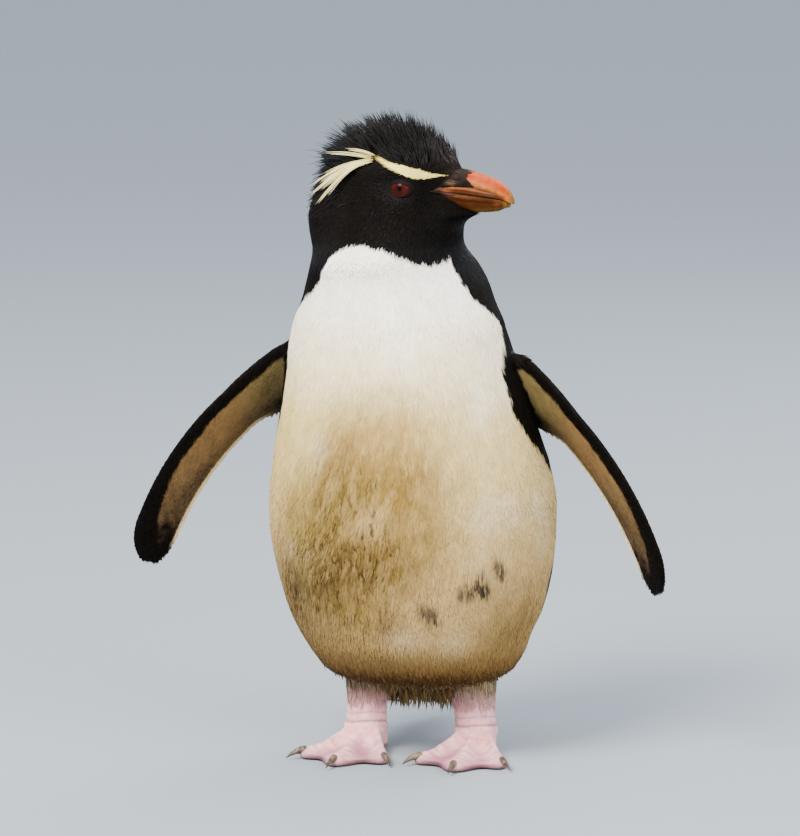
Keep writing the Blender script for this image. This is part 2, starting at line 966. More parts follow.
@dataclass(frozen=True)
class FloorFinish(Finish):
    """The studio's plain pale floor.

    Attributes:
        colour: Its colour.
    """

    name: str = "studio_floor"
    colour: Colour = (0.29, 0.325, 0.36)

    def dress(self, recipe: Recipe) -> None:
        """Set one pale matt colour."""
        recipe.set(Base_Color=(*self.colour, 1.0), Roughness=0.9)


def shape(
    name: str, points: Array, faces: Sequence[Sequence[int]], colours: Optional[Array] = None
) -> bpy.types.Mesh:
    """Make a mesh with smooth faces that point outwards.

    Args:
        name: The mesh's name.
        points: Its points, in the design frame.
        faces: Its faces, as numbers of points.
        colours: One colour per point, where it is painted.

    Returns:
        The mesh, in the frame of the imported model.
    """
    mesh = bpy.data.meshes.new(name)
    mesh.from_pydata((np.asarray(points) + SHIFT).tolist(), [], [list(face) for face in faces])
    mesh.polygons.foreach_set("use_smooth", [True] * len(mesh.polygons))
    paint(mesh, colours)
    mesh.update()
    return mesh


def paint(mesh: bpy.types.Mesh, colours: Optional[Array]) -> None:
    """Give a mesh one colour per point.

    Args:
        mesh: The mesh.
        colours: Red, green and blue of each point, or nothing.
    """
    if colours is None:
        return
    values = np.ones((len(mesh.vertices), 4), np.float32)
    values[:, :3] = np.clip(colours, 0.0, 1.0)
    layer = mesh.color_attributes.new(COAT, "FLOAT_COLOR", "POINT")
    layer.data.foreach_set("color", values.ravel())


def tube(count: int, steps: int) -> list[tuple[int, ...]]:
    """List the faces of a closed tube through equal rings, with a fan at either end.

    Args:
        count: How many rings it has.
        steps: How many points each ring has.

    Returns:
        The faces. The fans' middle points are the two that follow the rings' own.
    """
    faces = []
    for row in range(count - 1):
        for place in range(steps):
            low = row * steps + place
            high = row * steps + (place + 1) % steps
            faces.append((low, high, high + steps, low + steps))
    start = count * steps
    last = start - steps
    for place in range(steps):
        following = (place + 1) % steps
        faces.append((start, following, place))
        faces.append((start + 1, last + place, last + following))
    return faces


def with_ends(rings: Array) -> Array:
    """Return a tube's points or colours in the order that its faces count them."""
    ends = np.stack([rings[0].mean(axis=0), rings[-1].mean(axis=0)])
    return np.vstack([rings.reshape(-1, 3), ends])


def tube_mesh(name: str, rings: Array, colours: Optional[Array] = None) -> bpy.types.Mesh:
    """Make a closed tube through equal rings.

    Args:
        name: The mesh's name.
        rings: Its points, rings by places by three, in the design frame.
        colours: One colour per point, where it is painted.

    Returns:
        The mesh.
    """
    if colours is not None:
        colours = with_ends(colours.reshape(rings.shape))
    mesh = shape(name, with_ends(rings), tube(*rings.shape[:2]), colours)
    turn_out(mesh)
    return mesh


def points_of(mesh: bpy.types.Mesh) -> Array:
    """Return a mesh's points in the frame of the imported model."""
    points = np.zeros(len(mesh.vertices) * 3)
    mesh.vertices.foreach_get("co", points)
    return points.reshape(-1, 3)


def turn_out(mesh: bpy.types.Mesh) -> None:
    """Make a closed mesh's faces point outwards."""
    form = bmesh.new()
    form.from_mesh(mesh)
    bmesh.ops.recalc_face_normals(form, faces=form.faces[:])
    if form.calc_volume(signed=True) < 0.0:
        bmesh.ops.reverse_faces(form, faces=form.faces[:])
    form.to_mesh(mesh)
    form.free()


def add_piece(
    name: str, mesh: bpy.types.Mesh, finish: Finish, slot: Slot, stands_for: Iterable[str] = ()
) -> bpy.types.Object:
    """Put a mesh into the scene as a piece of the bird.

    Args:
        name: The piece's name.
        mesh: Its mesh.
        finish: What it is finished with.
        slot: The record's finish that it takes.
        stands_for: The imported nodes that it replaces.

    Returns:
        The new piece.
    """
    piece = bpy.data.objects.new(name, mesh)
    bpy.context.scene.collection.objects.link(piece)
    mesh.materials.clear()
    mesh.materials.append(finish.build())
    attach(piece, BODY)
    if stands_for:
        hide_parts(*stands_for)
    LOG.info("%s: %d faces", name, len(mesh.polygons))
    return piece


def remeshed(mesh: bpy.types.Mesh, voxel: float, rounds: int) -> bpy.types.Mesh:
    """Make one even closed skin of a mesh whose parts overlap.

    Args:
        mesh: The mesh, which is removed.
        voxel: The width of the new faces.
        rounds: How many rounds of smoothing follow.

    Returns:
        The new mesh.
    """
    item = bpy.data.objects.new("remesh_work", mesh)
    bpy.context.scene.collection.objects.link(item)
    step = item.modifiers.new("one_skin", "REMESH")
    step.mode = "VOXEL"
    step.voxel_size = voxel
    step.adaptivity = 0.0
    calm = item.modifiers.new("calm", "SMOOTH")
    calm.factor = 0.5
    calm.iterations = rounds
    depsgraph = bpy.context.evaluated_depsgraph_get()
    made = bpy.data.meshes.new_from_object(item.evaluated_get(depsgraph))
    bpy.data.objects.remove(item)
    bpy.data.meshes.remove(mesh)
    return made


@dataclass(frozen=True)
class Stain:
    """A soiled or stained place on the breast and belly.

    Attributes:
        angle: Its middle about the body, in degrees from -Y towards +X.
        height: Its height, in millimetres.
        wide: Its half width about the body, in degrees.
        high: Its half height, in millimetres.
        strength: How strongly it covers.
        colour: Its colour.
        lean: How many degrees it moves about the body for each millimetre up.
    """

    angle: float
    height: float
    wide: float
    high: float
    strength: float
    colour: Colour
    lean: float = 0.0

    def cover(self, angles: Array, heights: Array) -> Array:
        """Return how strongly the stain covers at angles in degrees and heights in millimetres."""
        off = angles - self.angle - self.lean * (heights - self.height)
        rise = heights - self.height
        return self.strength * np.exp(-((off / self.wide) ** 2) - (rise / self.high) ** 2)


@dataclass(frozen=True)
class Markings:
    """The bird's colours by place, the same for its skin and its coat.

    Attributes:
        stains: The stained places of the front.
        smudges: Its small dark marks.
        clean_spots: The places where the pale feathers show through the stain.
    """

    white: Colour = (0.93, 0.895, 0.82)
    cream: Colour = (0.62, 0.49, 0.30)
    brown: Colour = (0.16, 0.088, 0.030)
    soil: Colour = (0.018, 0.010, 0.005)
    olive: Colour = (0.085, 0.060, 0.025)
    back: Colour = (0.0046, 0.0047, 0.0054)
    face: Colour = (0.0021, 0.0015, 0.0011)
    crown: Colour = (0.0048, 0.0036, 0.0032)
    brow: Colour = (0.82, 0.68, 0.19)
    lore: Colour = (0.085, 0.054, 0.028)
    forehead: Colour = (0.034, 0.022, 0.018)
    flipper_inside: Colour = (0.205, 0.120, 0.046)
    flipper_root: Colour = (0.150, 0.108, 0.040)
    flipper_dusk: Colour = (0.060, 0.038, 0.019)
    flipper_edge: Colour = (0.82, 0.62, 0.30)
    hide: Colour = (0.86, 0.46, 0.46)
    hide_mauve: Colour = (0.58, 0.28, 0.36)
    hide_pale: Colour = (0.93, 0.64, 0.59)
    hide_web: Colour = (0.42, 0.17, 0.23)
    hide_crease: Colour = (0.25, 0.085, 0.095)
    hide_rim: Colour = (0.060, 0.028, 0.034)
    # The white front's own colour by height in millimetres, from the soiled belly upwards.
    front_heights: tuple[float, ...] = (46.0, 56.0, 66.0, 80.0, 100.0, 140.0, 180.0, 225.0, 265.0, 305.0)
    front_colours: tuple[Colour, ...] = (
        (0.016, 0.007, 0.0012), (0.055, 0.026, 0.0055), (0.190, 0.108, 0.032), (0.330, 0.205, 0.070),
        (0.410, 0.265, 0.100), (0.460, 0.305, 0.115), (0.520, 0.370, 0.138), (0.600, 0.450, 0.180),
        (0.800, 0.680, 0.440), (0.930, 0.885, 0.780),
    )
    # The white front's side edge: height in millimetres, and degrees from the breast's middle.
    side_edge: Table = (
        (46.0, 112.0), (60.0, 108.0), (84.0, 100.0), (100.0, 91.0), (116.0, 89.0), (132.0, 93.0),
        (146.0, 101.0), (180.0, 99.0), (192.0, 86.0), (211.0, 76.0), (228.0, 70.0), (255.0, 71.0),
        (270.0, 81.0), (284.0, 84.0), (300.0, 66.0), (328.0, 60.0),
    )
    # The black hood's lower edge: degrees about the neck, and height in millimetres.
    hood_edge: Table = (
        (-90.0, 288.0), (-60.0, 300.0), (-52.0, 307.0), (-44.0, 319.0), (-36.0, 327.5), (-26.0, 332.0),
        (-13.0, 333.8), (4.0, 330.8), (20.0, 325.6), (28.0, 322.4), (38.0, 320.9), (50.0, 321.0),
        (60.0, 323.5), (66.0, 328.0), (73.0, 333.5), (90.0, 322.0),
    )
    # The yellow brow's middle and half height, both in millimetres, ahead of the head's middle.
    brow_middle: Table = (
        (0.0, 389.4), (6.0, 386.8), (16.8, 382.6), (28.0, 379.1), (34.5, 377.7), (39.5, 377.5),
        (48.0, 377.2),
    )
    brow_half: Table = (
        (2.0, 0.5), (6.0, 1.0), (16.8, 2.0), (25.0, 3.0), (28.0, 3.2), (31.0, 2.9), (34.5, 2.1),
        (39.5, 1.0), (44.0, 0.2), (47.0, -0.5),
    )
    # The black leading edge of a flipper's inner side: where it ends across the chord, by the
    # share of the length; and the share at which the black tip starts on either side.
    lead_edge: Table = ((0.0, 0.34), (0.10, 0.33), (0.3, 0.30), (0.6, 0.25), (0.8, 0.12), (0.9, -0.08))
    black_tip_right: float = 0.86
    black_tip_left: float = 0.88
    stains: tuple[Stain, ...] = (
        Stain(4.0, 190.0, 26.0, 28.0, 1.00, (0.175, 0.102, 0.018)),
        Stain(-19.0, 196.0, 15.0, 30.0, 0.90, (0.170, 0.102, 0.023)),
        Stain(-28.0, 160.0, 19.0, 30.0, 1.00, (0.140, 0.086, 0.018)),
        Stain(-4.0, 137.0, 22.0, 24.0, 1.00, (0.088, 0.050, 0.010)),
        Stain(12.0, 152.0, 17.0, 26.0, 0.75, (0.190, 0.116, 0.028)),
        Stain(-30.0, 116.0, 20.0, 28.0, 1.00, (0.085, 0.051, 0.012)),
        Stain(-51.0, 112.0, 11.0, 22.0, 0.95, (0.045, 0.030, 0.013)),
        Stain(-45.0, 158.0, 10.0, 32.0, 0.60, (0.205, 0.142, 0.032)),
        Stain(-57.0, 226.0, 2.8, 22.0, 0.60, (0.420, 0.400, 0.075)),
        Stain(-11.0, 104.0, 13.0, 13.0, 0.75, (0.175, 0.106, 0.024)),
        Stain(1.0, 92.0, 8.0, 9.0, 0.85, (0.070, 0.038, 0.009)),
        Stain(8.0, 222.0, 24.0, 24.0, 0.62, (0.300, 0.190, 0.060)),
        Stain(-8.0, 216.0, 14.0, 18.0, 0.45, (0.260, 0.160, 0.045)),
        Stain(66.0, 92.0, 20.0, 30.0, 0.65, (0.130, 0.074, 0.018)),
        Stain(-68.0, 98.0, 16.0, 34.0, 0.70, (0.105, 0.060, 0.016)),
    )
    smudges: tuple[Stain, ...] = (
        Stain(49.5, 131.0, 2.4, 6.0, 1.3, (0.045, 0.032, 0.020), -0.25),
        Stain(41.5, 121.5, 2.8, 7.0, 1.5, (0.032, 0.024, 0.017), -0.2),
        Stain(35.0, 118.5, 4.0, 5.5, 1.2, (0.045, 0.032, 0.022), 0.2),
        Stain(17.8, 103.5, 3.6, 6.5, 1.1, (0.055, 0.040, 0.024), -0.3),
    )
    clean_spots: tuple[Stain, ...] = (
        Stain(6.0, 87.0, 10.0, 9.0, 0.70, (0.54, 0.375, 0.185)),
        Stain(31.0, 84.0, 9.0, 9.5, 0.65, (0.54, 0.375, 0.180)),
        Stain(-6.0, 163.0, 7.0, 9.0, 0.55, (0.42, 0.29, 0.12)),
    )

    def whiteness(self, angles: Array, heights: Array, points: Array) -> Array:
        """Return 1 in the white front and 0 in the black coat.

        Args:
            angles: Degrees about the body.
            heights: Heights in millimetres.
            points: The points themselves, for the edge's unevenness.

        Returns:
            The share of white.
        """
        uneven = Grain(11).at(points, 5.0 * MM) - 0.5
        fine = Grain(12).at(points, 1.3 * MM) - 0.5
        edge = read(self.side_edge, heights) + uneven * 2.2 + fine * 2.6
        top = read(self.hood_edge, angles) + uneven * 2.0 + fine * 2.6
        return ease(-0.7, 0.7, edge - np.abs(angles)) * ease(-0.6, 0.6, top - heights)

    def front(self, angles: Array, heights: Array, points: Array) -> Array:
        """Return the colours of the white front with its stains.

        Args:
            angles: Degrees about the body.
            heights: Heights in millimetres.
            points: The points themselves.

        Returns:
            One colour per point.
        """
        cloud = Grain(21).layered(points, 34.0 * MM)
        slant = points[:, 2] + 0.45 * points[:, 0]
        slanted = np.stack([points[:, 0] - 0.45 * points[:, 2], points[:, 1], slant * 0.32], axis=1)
        streak = Grain(22).layered(slanted, 3.6 * MM)
        fine = Grain(24).layered(points * np.array([1.0, 1.0, 0.28]), 1.5 * MM)
        own = np.array(self.front_colours)
        level = heights + 14.0 * (cloud - 0.5) * ease(70.0, 110.0, heights) + 7.0 * (fine - 0.5)
        colour = np.stack([np.interp(level, self.front_heights, own[:, tint]) for tint in range(3)], axis=1)
        clean = ease(200.0, 290.0, heights)
        colour = colour * (0.86 + 0.28 * fine * ease(290.0, 200.0, heights) + 0.14 * clean)[:, None]
        washed = 0.22 * ease(0.52, 0.74, cloud) * ease(80.0, 120.0, heights) + 0.06 * ease(5.0, 30.0, angles)
        washed = washed * (1.0 - 0.40 * ease(10.0, 28.0, angles) * ease(225.0, 205.0, heights))
        colour = mix(colour, self.white, np.clip(washed, 0.0, 0.7) * ease(100.0, 190.0, heights))
        rough = 0.62 + 0.50 * ease(0.34, 0.62, streak) + 0.75 * (fine - 0.42)
        for stain in self.stains:
            share = np.clip(stain.cover(angles, heights) * rough, 0.0, 0.92)
            colour = mix(colour, stain.colour, share)
        for spot in self.clean_spots:
            colour = mix(colour, spot.colour, spot.cover(angles, heights))
        speck = Grain(23).at(points * np.array([1.0, 1.0, 0.6]), 1.6 * MM)
        soiled = hill(angles, -12.0, 26.0) * hill(heights, 150.0, 52.0) * 0.85
        soiled = soiled + hill(angles, -42.0, 12.0) * hill(heights, 118.0, 32.0) * 0.6
        colour = mix(colour, self.soil, ease(0.71, 0.80, speck) * np.clip(soiled, 0.0, 1.0))
        for smudge in self.smudges:
            share = smudge.cover(angles, heights) * (0.30 + 1.5 * ease(0.34, 0.54, fine))
            colour = mix(colour, smudge.colour, np.clip(share, 0.0, 0.95))
        return mix(colour, self.olive, ease(51.0, 47.0, heights) * 0.8)

    def brow_share(self, inner: Array) -> Array:
        """Return 1 in the yellow brow stripe.

        Args:
            inner: Points in the head's frame.

        Returns:
            The share of yellow.
        """
        ahead = inner[:, 0] / MM
        off = np.abs(inner[:, 2] / MM - read(self.brow_middle, ahead))
        ragged = Grain(31).at(inner, 1.2 * MM) - 0.5
        inside = ease(-0.35, 0.35, read(self.brow_half, ahead) + ragged - off)
        return inside * ease(1.0, 4.0, ahead) * ease(50.0, 48.0, ahead)

    def hood(self, points: Array) -> Array:
        """Return the colours of the black head and neck, with the yellow brows.

        Args:
            points: Points in the design frame.

        Returns:
            One colour per point.
        """
        inner = HEAD.read(points)
        heights = inner[:, 2] / MM
        tone = 0.75 + 0.5 * Grain(32).layered(points, 9.0 * MM)
        brownish = np.maximum(ease(372.0, 392.0, heights), ease(-6.0, -20.0, inner[:, 0] / MM) * 0.8)
        colour = mix(self.face, self.crown, brownish)
        colour = mix(self.back, colour, ease(318.0, 338.0, heights)) * tone[:, None]
        streak = Grain(34).at(inner * np.array([0.4, 1.0, 1.0]), 1.5 * MM)
        front = hill(inner[:, 0] / MM, 56.0, 9.0) * hill(heights, 379.0, 7.0) * (0.35 + 0.9 * streak)
        colour = mix(colour, self.forehead, np.clip(front, 0.0, 0.85))
        lore = hill(inner[:, 0] / MM, 47.6, 2.6) * hill(heights, 372.8, 1.4) * (0.4 + 1.0 * streak)
        colour = mix(colour, self.lore, np.clip(lore, 0.0, 1.0))
        return mix(colour, self.brow, self.brow_share(inner))

    def body(self, points: Array) -> Array:
        """Return the colours of the trunk, neck and head.

        Args:
            points: Points in the design frame.

        Returns:
            One colour per point.
        """
        angles, _ = FORM.angles_of(points)
        angles = np.degrees(angles)
        heights = points[:, 2] / MM
        tone = 0.8 + 0.5 * Grain(33).layered(points, 12.0 * MM)
        behind = ease(96.0, 128.0, np.abs(angles))
        dark = mix(np.array(self.face) * 1.15, self.back, behind) * tone[:, None]
        dark = mix(dark, self.hood(points), ease(305.0, 325.0, heights))
        light = self.front(angles, heights, points)
        return mix(dark, light, self.whiteness(angles, heights, points))

    def flipper(self, where: Array, points: Array, side: Side) -> Array:
        """Return the colours of a flipper.

        Args:
            where: The share of the length, the place across the chord and the height off
                the middle, as FlipperForm.locate gives them.
            points: The points themselves.
            side: Which flipper.

        Returns:
            One colour per point.
        """
        share, across, height = where.T
        ragged = (Grain(41).layered(points, 5.0 * MM) - 0.5) * 0.16
        outer = np.array(self.back) * (0.85 + 0.5 * Grain(42).layered(points, 8.0 * MM))[:, None]
        panel_tone = 0.72 + 0.55 * Grain(43).layered(points * np.array([1.0, 1.0, 0.5]), 6.0 * MM)
        panel = mix(self.flipper_root, self.flipper_inside, ease(0.05, 0.35, share))
        dusk = ease(0.38, 0.84, share + ragged * 1.2) * 0.85
        dusk = dusk + ease(-0.02, -0.34, across + ragged * 0.6) * 0.60
        panel = mix(panel, self.flipper_dusk, np.clip(dusk, 0.0, 0.92))
        panel = panel * panel_tone[:, None]
        lead = read(self.lead_edge, share)
        tip = self.black_tip_right if side is Side.RIGHT else self.black_tip_left
        inside = ease(0.03, -0.02, across - lead + ragged * 0.5)
        inside = inside * ease(tip + 0.05, tip - 0.09, share - across * 0.15 + ragged * 1.3)
        root_patch = hill(share, 0.07, 0.09) * ease(-0.10, -0.30, across)
        inside = inside * (1.0 - np.clip(root_patch * 1.4, 0.0, 1.0))
        warm = np.array(self.face) * (0.9 + 0.5 * Grain(42).layered(points, 8.0 * MM))[:, None]
        under = mix(warm, panel, inside)
        edge = ease(-0.395, -0.43, across + ragged * 0.12) * ease(0.93, 0.85, share)
        edge = edge * ease(0.16, 0.30, share)
        colour = np.where((height < 0.0)[:, None], under, outer)
        return mix(colour, self.flipper_edge, edge * np.where(height < 0.0, 0.95, 0.40))

    def bare(self, points: Array) -> Array:
        """Return the colours of the bare legs and feet.

        Args:
            points: Points in the design frame.

        Returns:
            One colour per point.
        """
        patch = Grain(51).layered(points, 15.0 * MM)
        small = Grain(52).layered(points, 4.5 * MM)
        colour = mix(self.hide, self.hide_mauve, ease(0.50, 0.72, patch) * 0.55)
        colour = mix(colour, self.hide_pale, ease(0.48, 0.30, small) * 0.55)
        colour = mix(colour, np.array(self.hide_mauve) * 0.72, ease(0.70, 0.82, small) * 0.5)
        for limb in LIMBS.values():
            web, rim, crease = limb.folds(points)
            colour = mix(colour, self.hide_web, np.clip(web * (0.45 + 0.7 * patch), 0.0, 0.9))
            colour = mix(colour, self.hide_crease, np.clip(crease, 0.0, 0.75))
            colour = mix(colour, self.hide_rim, rim * 0.85)
        low = ease(3.2 * MM, 0.6 * MM, points[:, 2])
        return mix(colour, np.array(self.hide_rim) * 1.5, low * 0.7)


MARKS = Markings()


@dataclass(frozen=True)
class LimbForm:
    """One leg and webbed foot, on the same sizes as the solids.

    Attributes:
        side: Which leg.
        across: The ankle's place along X, in the design frame.
        along: The ankle's place along Y.
        heading: Which way the foot points, in degrees about Z.
        half_width: Half the shank's width.
        half_depth: Half its depth from front to back.
        leg_foot: The height where it starts in the foot.
        leg_top: The height where it ends in the belly.
        lean: How far its top leans in towards the body's middle.
        reach: How far the middle toe reaches from the ankle.
        heel: How far the heel reaches behind it.
        heel_half_width: Half the heel's width.
        margin: How far the foot goes past its side toes, as a share of the toes' spread.
        toe_spread: The angle from one toe to the next, in radians.
        side_toe_shorter: How much shorter the side toes are, as a share.
        web_notch: How far the web's edge lies back between two toes, as a share.
        web_thickness: How thick the web is.
        toe_height: How far a toe stands over the web at the ankle's end.
        ankle_height: How far the ankle stands over it.
        claw_length: A claw's length.
        claw_radius: Its radius at the root.
        claw_height: The height of its root's middle.
        claw_bury: How far its root lies inside the toe.
        claw_clearance: How far its tip stays over the floor.
        joint_pitch: How far apart the toes' creases are.
        folds_at: The heights of the ankle's two folds.
        fold_slant: How far a fold rises and falls on its way round the leg.
    """

    side: Side
    across: float
    along: float
    heading: float
    half_width: float = 14.0 * MM
    half_depth: float = 11.5 * MM
    leg_foot: float = 11.0 * MM
    leg_top: float = 66.0 * MM
    lean: float = 3.0 * MM
    reach: float = 62.0 * MM
    heel: float = 17.0 * MM
    heel_half_width: float = 11.0 * MM
    margin: float = 0.16
    toe_spread: float = math.radians(34.0)
    side_toe_shorter: float = 0.16
    web_notch: float = 0.17
    web_thickness: float = 2.6 * MM
    toe_height: float = 5.4 * MM
    ankle_height: float = 9.5 * MM
    claw_length: float = 15.0 * MM
    claw_radius: float = 2.9 * MM
    claw_height: float = 4.2 * MM
    claw_bury: float = 4.0 * MM
    claw_clearance: float = 0.7 * MM
    joint_pitch: float = 7.5 * MM
    folds_at: tuple[float, float] = (19.0 * MM, 24.5 * MM)
    fold_slant: float = 0.9 * MM

    def fold_level(self, height: Array, turn: Array) -> Array:
        """Return heights at angles about the leg, as the ankle's slanting folds count them."""
        return height + self.fold_slant * np.sin(turn * 2.0 + 0.6)

    def toe_ridge(self, bearing: Array) -> Array:
        """Return 1 along a toe and 0 in the middle of the web beside it."""
        return 0.5 + 0.5 * np.cos(2.0 * math.pi * bearing / self.toe_spread)

    def foot_reach(self, bearing: Array) -> Array:
        """Return how far the foot reaches from the ankle at a bearing."""
        past_toe = np.maximum(np.abs(bearing / self.toe_spread) - 1.0, 0.0) / self.margin
        held = np.clip(bearing, -self.toe_spread, self.toe_spread)
        toe = self.reach * (1.0 - self.side_toe_shorter * (held / self.toe_spread) ** 2)
        web = 1.0 - self.web_notch * (1.0 - self.toe_ridge(held))
        return toe * web * (1.0 - 0.10 * past_toe**2)

    def folds(self, points: Array) -> tuple[Array, Array, Array]:
        """Work out where the foot's webs, the webs' rim and the creases are.

        Args:
            points: Points in the design frame.

        Returns:
            The shares of web, of rim and of crease, one of each per point.
        """
        turn = math.radians(self.heading)
        wide = points[:, 0] - self.across
        long = points[:, 1] - self.along
        aside = wide * math.cos(turn) + long * math.sin(turn)
        ahead = wide * math.sin(turn) - long * math.cos(turn)
        radius = np.hypot(aside, ahead)
        bearing = np.arctan2(aside, ahead)
        mine = (np.abs(wide) < 60.0 * MM) & (np.abs(bearing) < self.toe_spread * (1.0 + self.margin))
        mine &= (np.sign(wide + self.across) == self.side.across) & (points[:, 2] < 26.0 * MM)
        ridge = self.toe_ridge(bearing)
        reached = radius / self.foot_reach(bearing)
        web = (1.0 - ridge) ** 0.7 * ease(0.30, 0.60, reached) * mine
        rim = ease(0.935, 0.985, reached) * (1.0 - 0.6 * ridge) * mine
        scutes = np.maximum(np.sin(radius / (1.9 * MM) * math.pi), 0.0) ** 6 * ridge**2
        joints = hill(np.mod(radius / self.joint_pitch, 1.0), 0.5, 0.10) * ridge
        crease = (0.30 * scutes + 0.45 * joints) * ease(0.32, 0.45, reached)
        crease = crease * ease(1.0, 0.92, reached) * mine
        level = self.fold_level(points[:, 2], np.arctan2(long, wide))
        ankle = np.hypot(wide, long) < 18.5 * MM
        low, high = self.folds_at
        rings = hill(level, low, 0.7 * MM) + 0.6 * hill(level, high, 0.6 * MM)
        return web, rim, crease + rings * ankle * 0.75

    def foot_points(self, columns: int = 61, rows: int = 34) -> tuple[Array, Array]:
        """Work out the foot's plate.

        Args:
            columns: How many bearings it has.
            rows: How many steps from heel to toe.

        Returns:
            The points of its back and those of its sole, columns by rows by three.
        """
        limit = self.toe_spread * (1.0 + self.margin)
        bearing = np.linspace(-limit, limit, columns)[:, None]
        share = np.linspace(0.0, 1.0, rows)[None, :]
        heel = self.heel * np.cos(bearing * 1.25)
        reach = self.foot_reach(bearing)
        radius = (reach + heel) * share - heel
        held = np.maximum(radius, 0.0)
        x = np.sin(bearing) * held + self.heel_half_width * bearing / limit * (1.0 - share)
        y = np.where(radius > 0.0, -np.cos(bearing) * radius, -radius)
        reached = held / reach
        ridge = self.toe_ridge(bearing)
        joints = 1.0 + 0.10 * np.sin(held / self.joint_pitch * math.pi) ** 2
        toe = self.toe_height * ridge**1.6 * (1.0 - 0.45 * reached) * joints
        ankle = self.ankle_height * np.maximum(1.0 - reached * 1.55, 0.0) ** 1.2
        wrinkle = 0.28 * MM * np.sin(held * 1900.0 + 2.0 * np.cos(bearing * 9.0)) * (0.35 + 0.65 * ridge)
        height = self.web_thickness + toe + ankle + wrinkle * ease(0.05, 0.3, reached)
        rim = np.minimum(ease(0.0, 0.07, share), ease(1.0, 0.94, share))
        rim = np.minimum(rim, ease(limit, limit * 0.93, np.abs(bearing)) + 0.0 * share)
        height = height * (0.45 + 0.55 * rim)
        turn = math.radians(self.heading)
        wide = self.across + x * math.cos(turn) - y * math.sin(turn)
        long = self.along + x * math.sin(turn) + y * math.cos(turn)
        top = np.stack([wide, long, height + 0.0 * x], axis=-1)
        sole = np.stack([wide, long, 0.0 * x], axis=-1)
        return top, sole

    def leg_rings(self, rows: int = 40, steps: int = 48) -> Array:
        """Work out the shank, with the creases over its ankle.

        Args:
            rows: How many level rings it has.
            steps: How many points a ring has.

        Returns:
            The points, rows by steps by three.
        """
        height = np.linspace(self.leg_foot, self.leg_top, rows)[:, None]
        turn = circle(steps)[None, :]
        rise = np.clip((height - 15.0 * MM) / (self.leg_top - 15.0 * MM), 0.0, 1.0)
        swell = 1.0 - 0.10 * np.sin(math.pi * np.minimum(rise * 1.4, 1.0)) + 0.12 * rise
        level = self.fold_level(height, turn)
        low, high = self.folds_at
        swell = swell - 0.085 * hill(level, low, 0.9 * MM) - 0.035 * hill(level, high, 0.8 * MM)
        swell = swell + 0.05 * hill(level, 16.0 * MM, 2.2 * MM)
        swell = swell + 0.012 * np.sin(level * 2600.0 + 3.0 * np.sin(turn * 3.0))
        aside = np.cos(turn) * self.half_width * swell
        ahead = np.sin(turn) * self.half_depth * swell
        lean = -self.side.across * self.lean * rise
        x = self.across + lean + aside
        y = self.along + ahead
        return np.stack([x, y, height + 0.0 * x], axis=-1)

    def claw_roots(self) -> list[tuple[str, Array, float]]:
        """List the claws.

        Returns:
            Each claw's toe, the middle of its root, and the angle it points at.
        """
        claws = []
        for toe, sign in (("outer", 1.0), ("middle", 0.0), ("inner", -1.0)):
            bearing = self.side.across * sign * self.toe_spread
            pointing = math.radians(self.heading) + bearing
            ahead = np.array([math.sin(pointing), -math.cos(pointing), 0.0])
            start = float(self.foot_reach(np.array(bearing))) - self.claw_bury
            root = np.array([self.across, self.along, self.claw_height]) + ahead * start
            claws.append((toe, root, pointing))
        return claws


LIMBS = {
    Side.RIGHT: LimbForm(Side.RIGHT, -33.0 * MM, 2.0 * MM, -8.0),
    Side.LEFT: LimbForm(Side.LEFT, 40.0 * MM, 2.0 * MM, -3.0),
}


